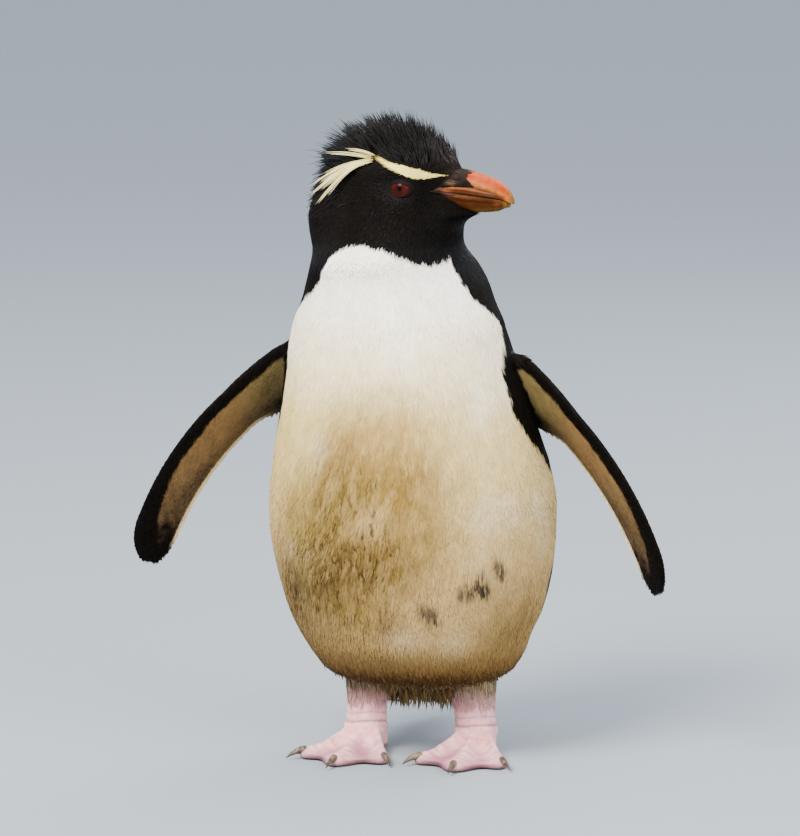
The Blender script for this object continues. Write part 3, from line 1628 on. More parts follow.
@dataclass
class Skin:
    """The one skin under the coat: body, flippers, legs and feet without a seam.

    Attributes:
        depth_trunk: How far the skin lies inside the coat's outer side on the trunk.
        depth_head: The same on the head.
        depth_flipper: The same at a flipper's edges.
        crest_depth: How much deeper it lies under the crest.
        nape_depth: How much deeper it lies on the nape.
        socket_depth: How far it draws in round an eye.
        socket_spread: How wide that hollow is.
        brow_rise: How far it stands out over an eye.
        segments: How many points each level ring has.
        foot_voxel: The width of the faces on legs and feet.
        head_height: Where the head's feathers start.
        leg_radius: How far from its middle a leg's bare skin reaches.
        mesh: The skin's mesh, once it is built.
    """

    depth_trunk: float = 2.2 * MM
    depth_head: float = 1.5 * MM
    depth_flipper: float = 1.3 * MM
    crest_depth: float = 4.5 * MM
    nape_depth: float = 1.5 * MM
    socket_depth: float = 1.6 * MM
    socket_spread: float = 8.0 * MM
    brow_rise: float = 1.3 * MM
    segments: int = 132
    foot_voxel: float = 1.0 * MM
    head_height: float = 334.0 * MM
    leg_radius: float = 17.5 * MM
    mesh: Optional[bpy.types.Mesh] = None

    def body_rings(self) -> Array:
        """Work out the level rings of the trunk, neck and head, inside the coat.

        Returns:
            The points, rows by steps by three, in the design frame.
        """
        low = FORM.bottom
        heights = np.concatenate(
            [
                low + np.array([0.0, 0.6, 1.3, 2.2, 3.3, 4.8, 6.5, 9.0, 12.0, 15.5]) * MM,
                np.arange(65.0, 330.0, 2.6) * MM,
                np.arange(330.0, 405.0, 1.2) * MM,
                np.array([405.6, 406.6, 407.4, 408.0]) * MM,
            ]
        )
        angles = circle(self.segments)
        grid_angle, grid_height = np.meshgrid(angles, heights)
        points = FORM.points(grid_angle, grid_height)
        around = FORM.points(grid_angle + 0.01, grid_height) - FORM.points(grid_angle - 0.01, grid_height)
        upward = np.gradient(points, heights, axis=0)
        normals = unit(np.cross(around, upward))
        depth = mix(self.depth_trunk, self.depth_head, ease(300.0 * MM, 345.0 * MM, grid_height))
        points = points - normals * depth[..., None]
        inner = HEAD.read(points.reshape(-1, 3)).reshape(points.shape)
        away = np.hypot(inner[..., 0] - EYE_FORWARD, inner[..., 2] - EYE_HEIGHT)
        socket = hill(away, 0.0, self.socket_spread) * self.socket_depth
        ahead, up = inner[..., 0] / MM, inner[..., 2] / MM
        brow = hill(ahead, 22.0, 15.0) * hill(up, 381.5, 4.0) * self.brow_rise
        crown = ease(384.0, 394.0, up) * self.crest_depth
        nape = ease(-16.0, -32.0, ahead) * ease(345.0, 370.0, up) * self.nape_depth
        points = points + normals * (brow - socket - np.maximum(crown, nape))[..., None]
        points = HEAD.place(BILL.bed(HEAD.read(points.reshape(-1, 3)))).reshape(points.shape)
        points[..., 2] = np.maximum(points[..., 2], low + 0.4 * MM)
        return points

    @staticmethod
    def capped(rings: Array, drop: float, rise: float) -> Array:
        """Close the ends of rings with smaller rings, so that the ends have even faces.

        Args:
            rings: The rings.
            drop: How far the lower end bulges down.
            rise: How far the upper end bulges up.

        Returns:
            The rings with those of the ends.
        """
        shares = (0.22, 0.42, 0.60, 0.76, 0.90)
        lower = rings[0].mean(axis=0)
        upper = rings[-1].mean(axis=0)
        first = [mix(lower, rings[0], np.full(1, share)) - UP * drop * (1.0 - share) for share in shares]
        last = [mix(upper, rings[-1], np.full(1, share)) + UP * rise * (1.0 - share) for share in shares]
        return np.concatenate([np.stack(first), rings, np.stack(last[::-1])])

    def limb_mesh(self, limb: LimbForm) -> bpy.types.Mesh:
        """Make one leg and foot as a single closed skin.

        Args:
            limb: The leg's form.

        Returns:
            The mesh.
        """
        rings = limb.leg_rings()
        top, sole = limb.foot_points()
        columns, rows = top.shape[:2]
        points = [with_ends(rings), top.reshape(-1, 3), sole.reshape(-1, 3)]
        faces = tube(*rings.shape[:2])
        first = len(points[0])
        second = first + columns * rows
        for column in range(columns - 1):
            for row in range(rows - 1):
                for start, flip in ((first, False), (second, True)):
                    near = start + column * rows + row
                    corners = (near, near + 1, near + rows + 1, near + rows)
                    faces.append(corners[::-1] if flip else corners)
        rim = [(0, row) for row in range(rows)] + [(column, rows - 1) for column in range(1, columns)]
        rim += [(columns - 1, row) for row in range(rows - 2, -1, -1)]
        rim += [(column, 0) for column in range(columns - 2, 0, -1)]
        for place, (column, row) in enumerate(rim):
            next_column, next_row = rim[(place + 1) % len(rim)]
            here = column * rows + row
            there = next_column * rows + next_row
            faces.append((first + here, second + here, second + there, first + there))
        mesh = shape("limb_work", np.vstack(points), faces)
        turn_out(mesh)
        return remeshed(mesh, self.foot_voxel, 2)

    @staticmethod
    def join(first: bpy.types.Mesh, others: Sequence[bpy.types.Mesh]) -> bpy.types.Mesh:
        """Unite closed meshes into one surface.

        Args:
            first: The mesh that the others are joined to.
            others: The other meshes.

        Returns:
            The united mesh.
        """
        scene = bpy.context.scene.collection
        group = bpy.data.collections.new("skin_work")
        item = bpy.data.objects.new("skin_work", first)
        scene.objects.link(item)
        scene.children.link(group)
        for other in others:
            group.objects.link(bpy.data.objects.new("skin_work_part", other))
        step = item.modifiers.new("unite", "BOOLEAN")
        step.operation = "UNION"
        step.operand_type = "COLLECTION"
        step.collection = group
        step.solver = "EXACT"
        depsgraph = bpy.context.evaluated_depsgraph_get()
        made = bpy.data.meshes.new_from_object(item.evaluated_get(depsgraph))
        for part in list(group.objects) + [item]:
            bpy.data.objects.remove(part)
        bpy.data.collections.remove(group)
        return made

    def soften_joins(self, mesh: bpy.types.Mesh) -> None:
        """Smooth the creases where the flippers and the legs leave the body.

        Args:
            mesh: The skin.
        """
        form = bmesh.new()
        form.from_mesh(mesh)
        points = np.array([vert.co for vert in form.verts]) - SHIFT
        _, outside = FORM.angles_of(points)
        near = np.abs(outside + self.depth_trunk) < 7.0 * MM
        at_root = np.zeros(len(points), bool)
        for flipper in FLIPPERS.values():
            gap = np.linalg.norm(points - np.array(flipper.shoulder), axis=1)
            at_root |= gap < 44.0 * MM
        form.verts.ensure_lookup_table()
        chosen = [form.verts[int(place)] for place in np.nonzero(near & at_root)[0]]
        every_way = {f"use_axis_{axis}": True for axis in "xyz"}
        for _ in range(6):
            bmesh.ops.smooth_vert(form, verts=chosen, factor=0.5, **every_way)
        form.to_mesh(mesh)
        form.free()

    def regions(self, points: Array) -> Array:
        """Tell which part of the skin points belong to.

        Args:
            points: Points in the design frame.

        Returns:
            One Region value per point.
        """
        _, outside = FORM.angles_of(points)
        found = np.full(len(points), Region.TRUNK.value)
        found[points[:, 2] > self.head_height] = Region.HEAD.value
        proud = outside > -1.0 * MM
        for side, flipper in FLIPPERS.items():
            where = flipper.locate(points)
            on = (where[:, 0] > -0.05) & (np.abs(where[:, 1]) < 0.62) & proud
            on &= (np.abs(where[:, 2]) < 9.0 * MM) & (points[:, 2] < 285.0 * MM)
            found[on] = FLIPPER_REGIONS[side].value
        found[points[:, 2] < FORM.bottom - 0.6 * MM] = Region.BARE.value
        for limb in LIMBS.values():
            gap = np.hypot(points[:, 0] - limb.across, points[:, 1] - limb.along)
            found[(gap < self.leg_radius) & (points[:, 2] < 62.0 * MM)] = Region.BARE.value
        return found

    def colours(self, points: Array) -> Array:
        """Return the skin's colours, the same as the coat's where it is feathered.

        Args:
            points: Points in the design frame.

        Returns:
            One colour per point.
        """
        regions = self.regions(points)
        colours = MARKS.body(points)
        for side, region in FLIPPER_REGIONS.items():
            on = regions == region.value
            part = points[on]
            colours[on] = MARKS.flipper(FLIPPERS[side].locate(part), part, side)
        on = regions == Region.BARE.value
        colours[on] = MARKS.bare(points[on])
        return colours

    def build(self) -> bpy.types.Object:
        """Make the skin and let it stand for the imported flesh.

        Returns:
            The skin's piece.
        """
        rings = self.capped(self.body_rings(), 0.4 * MM, 0.8 * MM)
        shares = [[-0.10, -0.05], np.linspace(0.0, 0.84, 44), np.linspace(0.855, 0.992, 10)]
        shares = np.concatenate(shares)
        parts = []
        for flipper in FLIPPERS.values():
            section = np.stack([flipper.ring(share, self.depth_flipper, 48) for share in shares])
            parts.append(tube_mesh("flipper_work", section))
        for limb in LIMBS.values():
            parts.append(self.limb_mesh(limb))
            turn_out(parts[-1])
        self.mesh = self.join(tube_mesh("body_work", rings), parts)
        self.soften_joins(self.mesh)
        self.mesh.name = "skin"
        points = points_of(self.mesh)
        points[:, 2] = np.maximum(points[:, 2], 0.0)
        self.mesh.vertices.foreach_set("co", points.ravel())
        self.mesh.polygons.foreach_set("use_smooth", [True] * len(self.mesh.polygons))
        paint(self.mesh, self.colours(points - SHIFT))
        self.mesh.update()
        flesh = ["trunk", "neck", "head"]
        flesh += [f"{part}_{side.label}" for part in ("flipper", "leg", "foot") for side in Side]
        return add_piece("skin", self.mesh, HideFinish(specular=0.05), Slot.FOOT, flesh)

    def soil(self) -> "Soil":
        """Return the skin's triangles, for feathers to be sown on."""
        mesh = self.mesh
        mesh.calc_loop_triangles()
        count = len(mesh.loop_triangles)
        corners = np.zeros(count * 3, np.int32)
        mesh.loop_triangles.foreach_get("vertices", corners)
        normals = np.zeros(len(mesh.vertices) * 3)
        mesh.vertex_normals.foreach_get("vector", normals)
        corners = corners.reshape(-1, 3)
        return Soil((points_of(mesh) - SHIFT)[corners], normals.reshape(-1, 3)[corners])


@dataclass
class Soil:
    """Triangles that feathers are sown on.

    Attributes:
        corners: The triangles' corners, in the design frame.
        normals: The skin's normals at those corners.
    """

    corners: Array
    normals: Array

    @property
    def middles(self) -> Array:
        """Return the triangles' middles."""
        return self.corners.mean(axis=1)

    def only(self, chosen: Array) -> "Soil":
        """Return the chosen triangles."""
        return Soil(self.corners[chosen], self.normals[chosen])

    def sow(self, density: Array, random: np.random.Generator) -> tuple[Array, Array]:
        """Spread roots evenly.

        Args:
            density: Roots per square metre of each triangle.
            random: The source of random places.

        Returns:
            The roots and the skin's normals there.
        """
        sides = self.corners[:, 1:] - self.corners[:, :1]
        areas = np.linalg.norm(np.cross(sides[:, 0], sides[:, 1]), axis=1) / 2.0
        total = np.cumsum(areas * density)
        counts = np.diff(np.floor(np.concatenate([[0.0], total]))).astype(int)
        chosen = np.repeat(np.arange(len(areas)), counts)
        first = np.sqrt(random.random(len(chosen)))
        second = random.random(len(chosen))
        weights = np.stack([1.0 - first, first * (1.0 - second), first * second], axis=1)
        roots = np.einsum("nc,ncx->nx", weights, self.corners[chosen])
        normals = np.einsum("nc,ncx->nx", weights, self.normals[chosen])
        return roots, unit(normals)


@dataclass(frozen=True)
class Leaf:
    """The shape of one small feather: a closed, keeled leaf with a point.

    Attributes:
        places: Each corner's place along the feather, as a share of its length.
        aside: How far aside each corner lies, as a share of the feather's width.
        keel: How far above the feather's middle each corner lies, as a share of its thickness.
        faces: The corners of each face.
    """

    places: tuple[float, ...]
    aside: tuple[float, ...]
    keel: tuple[float, ...]
    faces: tuple[tuple[int, ...], ...]


ROUND_LEAF = Leaf(
    (0.0, 0.36, 0.36, 0.36, 0.76, 0.76, 0.76, 1.0),
    (0.0, 0.5, -0.5, 0.0, 0.40, -0.40, 0.0, 0.0),
    (-0.5, 0.0, 0.0, 1.0, 0.0, 0.0, 0.7, 0.0),
    (
        (0, 1, 3), (0, 3, 2), (0, 2, 1), (1, 4, 6, 3), (3, 6, 5, 2), (2, 5, 4, 1), (4, 7, 6), (6, 7, 5),
        (5, 7, 4),
    ),
)
POINTED_LEAF = Leaf(
    (0.0, 0.62, 0.62, 0.62, 1.0),
    (0.0, 0.5, -0.5, 0.0, 0.0),
    (-0.5, 0.0, 0.0, 1.0, 0.0),
    ((0, 1, 3), (0, 3, 2), (0, 2, 1), (1, 4, 3), (3, 4, 2), (2, 4, 1)),
)


@dataclass
class Feathers:
    """A set of small solid feathers, each a thin keeled leaf with a point.

    Attributes:
        roots: Where each one grows.
        flow: The direction in the skin that each one lies in.
        normals: The skin's normal at each root.
        length: Lengths.
        width: Widths.
        lift: The angle that each one stands off the skin, in radians.
        colours: The colour of each one near its root and near its tip.
        curl: How far each one bends back to the skin, as a share of its length.
        sway: How far each tip swings aside, as a share of its length.
        thick: The thickness as a share of the width.
        root_shade: How dark the root is beside the rest.
        leaf: The shape that each one has.
    """

    roots: Array
    flow: Array
    normals: Array
    length: Array
    width: Array
    lift: Array
    colours: Array
    curl: Array
    sway: Array
    thick: float = 0.07
    root_shade: float = 0.93
    leaf: Leaf = ROUND_LEAF

    def rows(self) -> dict[str, Array]:
        """Return the fields that hold one row for each feather."""
        return {key: value for key, value in vars(self).items() if isinstance(value, np.ndarray)}

    def joined(self, other: "Feathers") -> "Feathers":
        """Return this set and another as one."""
        theirs = other.rows()
        both = {key: np.concatenate([own, theirs[key]]) for key, own in self.rows().items()}
        return replace(self, **both)

    def only(self, chosen: Array) -> "Feathers":
        """Return the chosen feathers."""
        return replace(self, **{key: value[chosen] for key, value in self.rows().items()})

    def points(self) -> Array:
        """Work out all the feathers' points.

        Returns:
            Points, feathers by the leaf's corners by three.
        """
        aside = unit(np.cross(self.flow, self.normals))
        rows = []
        for place, side, keel in zip(self.leaf.places, self.leaf.aside, self.leaf.keel):
            ahead = self.length * place * np.cos(self.lift)
            above = self.length * (np.sin(self.lift) * place - self.curl * place**2)
            off = self.width * side + self.length * self.sway * place**2
            above = above + self.width * self.thick * keel
            rows.append(
                self.roots
                + self.flow * ahead[:, None]
                + self.normals * above[:, None]
                + aside * off[:, None]
            )
        return np.stack(rows, axis=1)

    def mesh(self, name: str, chart: Array) -> bpy.types.Mesh:
        """Make the mesh of all the feathers, with its map for the bake.

        Args:
            name: The mesh's name.
            chart: Each root's place on the unwrapped skin, two values of any range.

        Returns:
            The mesh.
        """
        count = len(self.roots)
        leaf = self.leaf
        each = len(leaf.places)
        points = (self.points() + SHIFT).astype(np.float32)
        sample = points[0].astype(float)
        volume = 0.0
        for face in leaf.faces:
            for last in range(2, len(face)):
                corners = sample[[face[0], face[last - 1], face[last]]] - sample[0]
                volume += float(np.dot(corners[0], np.cross(corners[1], corners[2])))
        faces = [face if volume > 0.0 else face[::-1] for face in leaf.faces]
        corners = np.concatenate([np.array(face) for face in faces])
        sizes = np.array([len(face) for face in faces])
        per = len(corners)
        loops = (np.arange(count)[:, None] * each + corners[None, :]).ravel()
        starts = np.concatenate([[0], np.cumsum(sizes)[:-1]])
        starts = (np.arange(count)[:, None] * per + starts[None, :]).ravel()
        mesh = bpy.data.meshes.new(name)
        mesh.vertices.add(count * each)
        mesh.vertices.foreach_set("co", points.ravel())
        mesh.loops.add(len(loops))
        mesh.loops.foreach_set("vertex_index", loops.astype(np.int32))
        mesh.polygons.add(len(starts))
        mesh.polygons.foreach_set("loop_start", starts.astype(np.int32))
        mesh.polygons.foreach_set("use_smooth", np.zeros(len(starts), bool))
        mesh.update(calc_edges=True)
        share = np.array(leaf.places)
        along = np.broadcast_to(share, (count, each))
        tints = mix(self.colours[:, None, 0], self.colours[:, None, 1], along)
        shades = self.root_shade + (1.0 - self.root_shade) * np.minimum(share / 0.7, 1.0)
        paint(mesh, (tints * shades[None, :, None]).reshape(-1, 3))
        low = chart.min(axis=0)
        span = np.maximum(chart.max(axis=0) - low, 1e-9)
        middle = PATCH + (1.0 - 2.0 * PATCH) * (chart - low) / span
        spots = np.stack([np.array(leaf.aside), share - 0.5 + 0.18 * np.array(leaf.keel)], axis=1)
        spots = middle[:, None, :] + spots[None, :, :] * PATCH
        layer = mesh.uv_layers.new(name="OFBake")
        spots = spots[:, corners, :].reshape(-1, 2).astype(np.float32)
        layer.uv.foreach_set("vector", spots.ravel())
        return mesh


def groom(
    roots: Array,
    normals: Array,
    flow: Array,
    length: Array,
    width: Array,
    lift: Array,
    colours: Callable[[Array], Array],
    random: np.random.Generator,
    leaf: Leaf = ROUND_LEAF,
) -> Feathers:
    """Gather feathers with the usual small differences between them.

    Args:
        roots: Where they grow.
        normals: The skin's normals there.
        flow: The directions they lie in.
        length: Their lengths.
        width: Their widths.
        lift: Their angles off the skin, in radians.
        colours: What gives the colours at points on the skin.
        random: The source of the differences.
        leaf: The shape that each one has.

    Returns:
        The feathers.
    """
    count = len(roots)
    vary = random.normal(0.0, 1.0, (4, count))
    length = length * np.clip(1.0 + 0.12 * vary[0], 0.7, 1.4)
    lift = lift * np.clip(1.0 + 0.30 * vary[1], 0.2, 2.0)
    flow = lay_flat(flow, normals)
    reach = flow * (length * np.cos(lift))[:, None]
    tints = np.stack([colours(roots + reach * 0.35), colours(roots + reach * 0.85)], axis=1)
    differ = mix(0.30, 0.07, ease(0.02, 0.15, tints.mean(axis=(1, 2))))
    shade = np.clip(1.0 + differ * vary[2], 0.4, 1.9)
    return Feathers(
        roots=roots,
        flow=flow,
        normals=normals,
        length=length,
        width=width * np.ones(count),
        lift=lift,
        colours=tints * shade[:, None, None],
        curl=0.35 * np.sin(lift) + 0.01,
        sway=0.05 * vary[3],
        leaf=leaf,
    )


@dataclass
class Coat:
    """The small feathers over trunk, neck, head and flippers.

    Attributes:
        soil: The skin's triangles.
        regions: Each triangle's region.
        most: The most feathers that one piece holds.
        front_density: Feathers per square metre on the front.
        back_density: The same on the back.
        head_density: The same on the head.
        flipper_density: The same on the flippers.
        fringe_density: The same for the loose ones under the belly.
        cuff_count: How many stand about the top of each leg.
        front_border: Where the front's pieces end, in degrees from the breast's middle.
        bands: The name and the lowest and highest place of each band of pieces, in millimetres.
        eye_clear: Half the width and half the height of the bare place round an eye, in
            millimetres.
    """

    soil: Soil
    regions: Array
    most: int = 16500
    front_density: float = 0.66e6
    back_density: float = 0.44e6
    head_density: float = 1.40e6
    flipper_density: float = 0.62e6
    fringe_density: float = 0.11e6
    cuff_count: int = 1700
    front_border: float = 92.0
    bands: tuple[tuple[str, float, float], ...] = (
        ("lower", 0.0, 132.0),
        ("middle", 132.0, 222.0),
        ("upper", 222.0, 500.0),
    )
    eye_clear: tuple[float, float] = (7.9, 6.1)
    # Feathers' lengths and widths in millimetres by height, and on a flipper by its share.
    trunk_length: Table = ((46.0, 9.0), (70.0, 9.5), (120.0, 9.0), (250.0, 7.4), (300.0, 5.4), (334.0, 4.0))
    trunk_width: Table = ((46.0, 1.3), (120.0, 1.5), (250.0, 1.6), (300.0, 1.35), (334.0, 1.1))
    head_length: Table = ((334.0, 4.2), (350.0, 3.8), (372.0, 3.6), (384.0, 4.6), (396.0, 6.0))
    flipper_length: Table = ((0.0, 4.6), (0.2, 3.4), (0.8, 2.8), (1.0, 1.8))

    @staticmethod
    def lie(points: Array) -> Array:
        """Work out which way the coat lies over the body.

        Args:
            points: Points in the design frame.

        Returns:
            Directions, not yet laid into the skin.
        """
        heights = points[:, 2] / MM
        down = np.stack([0.10 * np.sign(points[:, 0]), 0.10 + 0.0 * heights, -1.0 + 0.0 * heights], axis=1)
        down[:, 0] *= ease(0.0, 40.0 * MM, np.abs(points[:, 0]))
        under = ease(78.0, 50.0, heights)
        down = mix(unit(down), unit(np.array([[0.0, 1.0, -0.55]])), under)
        from_bill = unit(points - HEAD.place(np.array([88.0, 0.0, 366.0]) * MM))
        lower = ease(366.0, 338.0, heights)
        from_bill = from_bill - UP * (0.15 + 1.3 * lower)[:, None]
        lie = unit(mix(down, unit(from_bill), ease(312.0, 350.0, heights)))
        for flipper in FLIPPERS.values():
            _, axis, _, _ = flipper.axes(np.zeros(1))
            gap = np.linalg.norm(points - np.array(flipper.shoulder), axis=1)
            lie = unit(mix(lie, axis + 0.0 * lie, ease(34.0 * MM, 14.0 * MM, gap) * 0.85))
        return lie

    @staticmethod
    def unevenness(points: Array, directions: Array, amount: float) -> Array:
        """Turn directions a little, in patches and from feather to feather.

        Args:
            points: Roots.
            directions: Unit directions.
            amount: How far they turn.

        Returns:
            The turned directions.
        """
        swing = drift(61, points, 9.0 * MM) * amount * 1.3
        return unit(directions + swing + drift(71, points, 1.1 * MM) * amount)

    def at(self, region: Region) -> Soil:
        """Return the skin's triangles of one region."""
        return self.soil.only(self.regions == region.value)

    def trunk(self) -> Feathers:
        """Work out the feathers of the trunk and neck.

        Returns:
            The feathers.
        """
        random = np.random.default_rng(1)
        soil = self.at(Region.TRUNK)
        angles, _ = FORM.angles_of(soil.middles)
        behind = ease(1.5, 1.8, np.abs(angles))
        density = mix(self.front_density, self.back_density, behind)
        roots, normals = soil.sow(density, random)
        heights = roots[:, 2] / MM
        length = read(self.trunk_length, heights) * MM
        width = read(self.trunk_width, heights) * MM
        patches = ease(0.48, 0.8, Grain(81).layered(roots, 26.0 * MM))
        rough = 1.0 + 1.6 * patches * ease(230.0, 120.0, heights)
        rough = rough + 1.2 * ease(72.0, 58.0, heights)
        lift = np.radians(2.3) * rough
        turned = np.degrees(FORM.angles_of(roots)[0])
        matted = hill(turned, -24.0, 32.0) * hill(heights, 145.0, 58.0)
        lift = lift * (1.0 + 0.9 * matted)
        flow = self.unevenness(roots, self.lie(roots), 0.20 + 0.45 * matted[:, None])
        return groom(roots, normals, flow, length, width, lift, MARKS.body, random)

    def head(self) -> Feathers:
        """Work out the short feathers of the head, which leave the eyes and the bill bare.

        Returns:
            The feathers.
        """
        random = np.random.default_rng(2)
        soil = self.at(Region.HEAD)
        roots, normals = soil.sow(self.head_density, random)
        inner = HEAD.read(roots)
        ahead, aside, up = inner.T / MM
        wide, tall = self.eye_clear
        around_eye = np.hypot((ahead - EYE_FORWARD / MM) / wide, (up - EYE_HEIGHT / MM) / tall)
        keep = ~((around_eye < 1.0) & (np.abs(aside) > 10.0))
        keep &= ~BILL.covers(inner)
        roots, normals, around_eye = roots[keep], normals[keep], around_eye[keep]
        ahead, aside, up = ahead[keep], aside[keep], up[keep]
        face = ease(-20.0, 10.0, ahead) * ease(392.0, 380.0, up)
        length = read(self.head_length, up) * MM
        nape = ease(-18.0, -34.0, ahead) * ease(338.0, 362.0, up)
        length = length * (1.0 - 0.30 * face) * (1.0 + 0.5 * nape)
        length = length * mix(0.40, 1.0, ease(1.0, 1.9, around_eye))
        width = (1.05 - 0.35 * face) * MM
        lift = 2.6 + 2.4 * ease(336.0, 352.0, up) + 9.0 * nape + 8.0 * ease(386.0, 398.0, up)
        lift = np.radians(lift)
        flow = self.unevenness(roots, self.lie(roots), 0.14)
        return groom(roots, normals, flow, length, width, lift, MARKS.body, random, POINTED_LEAF)

    def flipper(self, side: Side) -> Feathers:
        """Work out the scale-like feathers of a flipper.

        Args:
            side: Which flipper.

        Returns:
            The feathers.
        """
        random = np.random.default_rng(3 if side is Side.RIGHT else 4)
        form = FLIPPERS[side]
        roots, normals = self.at(FLIPPER_REGIONS[side]).sow(self.flipper_density, random)
        where = form.locate(roots)
        keep = where[:, 0] < 0.992
        roots, normals, where = roots[keep], normals[keep], where[keep]
        _, axis, leading, _ = form.axes(where[:, 0])
        trailing = ease(-0.30, -0.46, where[:, 1])
        aside = 0.14 + 0.22 * trailing + 0.25 * trailing * ease(0.7, 0.9, where[:, 0])
        flow = axis - leading * aside[:, None]
        length = read(self.flipper_length, where[:, 0]) * MM
        lift = np.radians(2.8 + 1.5 * trailing)

        def colours(points: Array) -> Array:
            """Return the flipper's colours at points on it."""
            return MARKS.flipper(form.locate(points), points, side)

        flow = self.unevenness(roots, unit(flow), 0.12)
        return groom(roots, normals, flow, length, 1.15 * MM, lift, colours, random, POINTED_LEAF)

    @staticmethod
    def between_legs(points: Array) -> Array:
        """Return 1 under the belly between the legs and 0 elsewhere."""
        across = ease(-34.0 * MM, -24.0 * MM, points[:, 0]) * ease(40.0 * MM, 30.0 * MM, points[:, 0])
        return across * ease(-30.0 * MM, 0.0 * MM, points[:, 1])

    def fringe(self) -> Feathers:
        """Work out the long loose feathers that hang from the belly's lower edge.

        Returns:
            The feathers.
        """
        random = np.random.default_rng(5)
        soil = self.at(Region.TRUNK)
        middles = soil.middles
        low = ease(60.0, 51.0, middles[:, 2] / MM)
        between = self.between_legs(middles)
        roots, normals = soil.sow(self.fringe_density * low * (1.0 + 4.0 * between), random)
        between_legs = self.between_legs(roots)
        _, outside = FORM.angles_of(roots)
        edge = ease(-26.0 * MM, -6.0 * MM, outside)
        drop = np.array([0.0, 0.25, -1.0]) + normals * np.array([0.35, 0.35, 0.0])
        drop = self.unevenness(roots, unit(drop), 0.45)
        length = (5.0 + 2.0 * edge + 17.0 * between_legs) * MM
        slope = np.clip(np.sum(drop * normals, axis=1), 0.05, 0.92)
        slope = slope * (0.20 + 0.80 * np.maximum(between_legs, 0.25 * edge))

        def colours(points: Array) -> Array:
            """Return the belly's colours, darker between the legs."""
            middle = self.between_legs(points)
            olive = np.array(MARKS.olive) * (0.8 + 1.3 * Grain(84).at(points, 1.7 * MM))[:, None]
            return mix(MARKS.body(points), olive, np.clip(0.25 + middle, 0.0, 1.0))

        made = groom(roots, normals, drop, length, 1.1 * MM, np.arcsin(slope), colours, random)
        made.curl = made.curl * 0.3
        return made

    def cuffs(self) -> Feathers:
        """Work out the short soiled feathers that run down over the tops of the legs.

        Returns:
            The feathers.
        """
        random = np.random.default_rng(6)
        made = None
        for limb in LIMBS.values():
            count = self.cuff_count
            turn = random.uniform(0.0, 2.0 * math.pi, count)
            level = 57.0 - 19.0 * random.random(count) ** 1.5
            level = level - 6.0 * Grain(83).at(np.stack([turn, turn, turn], axis=1), 0.5)
            swell = 0.985 + 0.10 * (level - 36.0) / 20.0
            out = np.stack([np.cos(turn), np.sin(turn), 0.0 * turn], axis=1)
            middle = np.array([limb.across - limb.side.across * limb.lean * 0.6, limb.along, 0.0])
            roots = middle + out * np.array([limb.half_width, limb.half_depth, 0.0]) * swell[:, None]
            roots = roots + UP * (level * MM)[:, None]
            normals = unit(out * np.array([limb.half_depth, limb.half_width, 0.0]))
            drop = self.unevenness(roots, -UP + 0.0 * roots, 0.35)
            length = (4.5 + 4.0 * random.random(count)) * MM
            pale = random.random(count)

            def colours(points: Array, pale: Array = pale) -> Array:
                """Return pale and brown feathers side by side."""
                tint = mix(np.array(MARKS.brown) * 0.55, np.array(MARKS.cream) * 0.50, pale)
                low = ease(44.0 * MM, 32.0 * MM, points[:, 2]) * 0.6
                return mix(tint, np.array(MARKS.hide) * 0.75, low)

            lift = np.radians(5.0) + 0.0 * turn
            part = groom(roots, normals, drop, length, 0.7 * MM, lift, colours, random)
            made = part if made is None else made.joined(part)
        return made

    @staticmethod
    def chart(roots: Array) -> Array:
        """Return roots' places on the unwrapped body."""
        angles, _ = FORM.angles_of(roots)
        return np.stack([angles, FORM.meridian(roots)], axis=1)

    @staticmethod
    def flipper_chart(roots: Array, side: Side) -> Array:
        """Return roots' places on an unwrapped flipper."""
        where = FLIPPERS[side].locate(roots)
        around = np.arctan2(where[:, 2] / (2.0 * MM), where[:, 1] * 3.0)
        return np.stack([where[:, 0], around], axis=1)

    def build(self) -> list[bpy.types.Object]:
        """Make all the coat's pieces.

        Returns:
            The pieces.
        """
        made = []
        trunk = self.trunk()
        angles, _ = FORM.angles_of(trunk.roots)
        heights = trunk.roots[:, 2] / MM
        in_front = np.abs(np.degrees(angles)) < self.front_border
        for front, face in ((True, "front"), (False, "back")):
            for side in Side:
                for band, low, high in self.bands:
                    chosen = (in_front == front) & (angles * side.across >= 0.0)
                    chosen &= (heights >= low) & (heights < high)
                    part = trunk.only(chosen)
                    part.leaf = ROUND_LEAF if front else POINTED_LEAF
                    made.append(self.piece(f"coat_{face}_{band}_{side.label}", part, Slot.BODY))
        head = self.head()
        inner = HEAD.read(head.roots)
        for side in Side:
            for part, behind in (("face", False), ("nape", True)):
                chosen = (inner[:, 1] * side.in_head >= 0.0) & ((inner[:, 0] < 0.0) == behind)
                made.append(self.piece(f"coat_{part}_{side.label}", head.only(chosen), Slot.HEAD))
        for side in Side:
            feathers = self.flipper(side)
            chart = self.flipper_chart(feathers.roots, side)
            for label, on in (("outer", True), ("inner", False)):
                chosen = (FLIPPERS[side].locate(feathers.roots)[:, 2] >= 0.0) == on
                part = feathers.only(chosen)
                name = f"coat_flipper_{label}_{side.label}"
                made.append(self.piece(name, part, Slot.HEAD, chart[chosen]))
        made.append(self.piece("coat_fringe", self.fringe(), Slot.BODY))
        cuffs = self.cuffs()
        turns = [np.arctan2(cuffs.roots[:, 1], cuffs.roots[:, 0] - limb.across) for limb in LIMBS.values()]
        chart = np.where(cuffs.roots[:, 0] < 0.0, turns[0], turns[1] + 7.0)
        chart = np.stack([chart, cuffs.roots[:, 2]], axis=1)
        made.append(self.piece("coat_leg_tops", cuffs, Slot.BODY, chart))
        return made

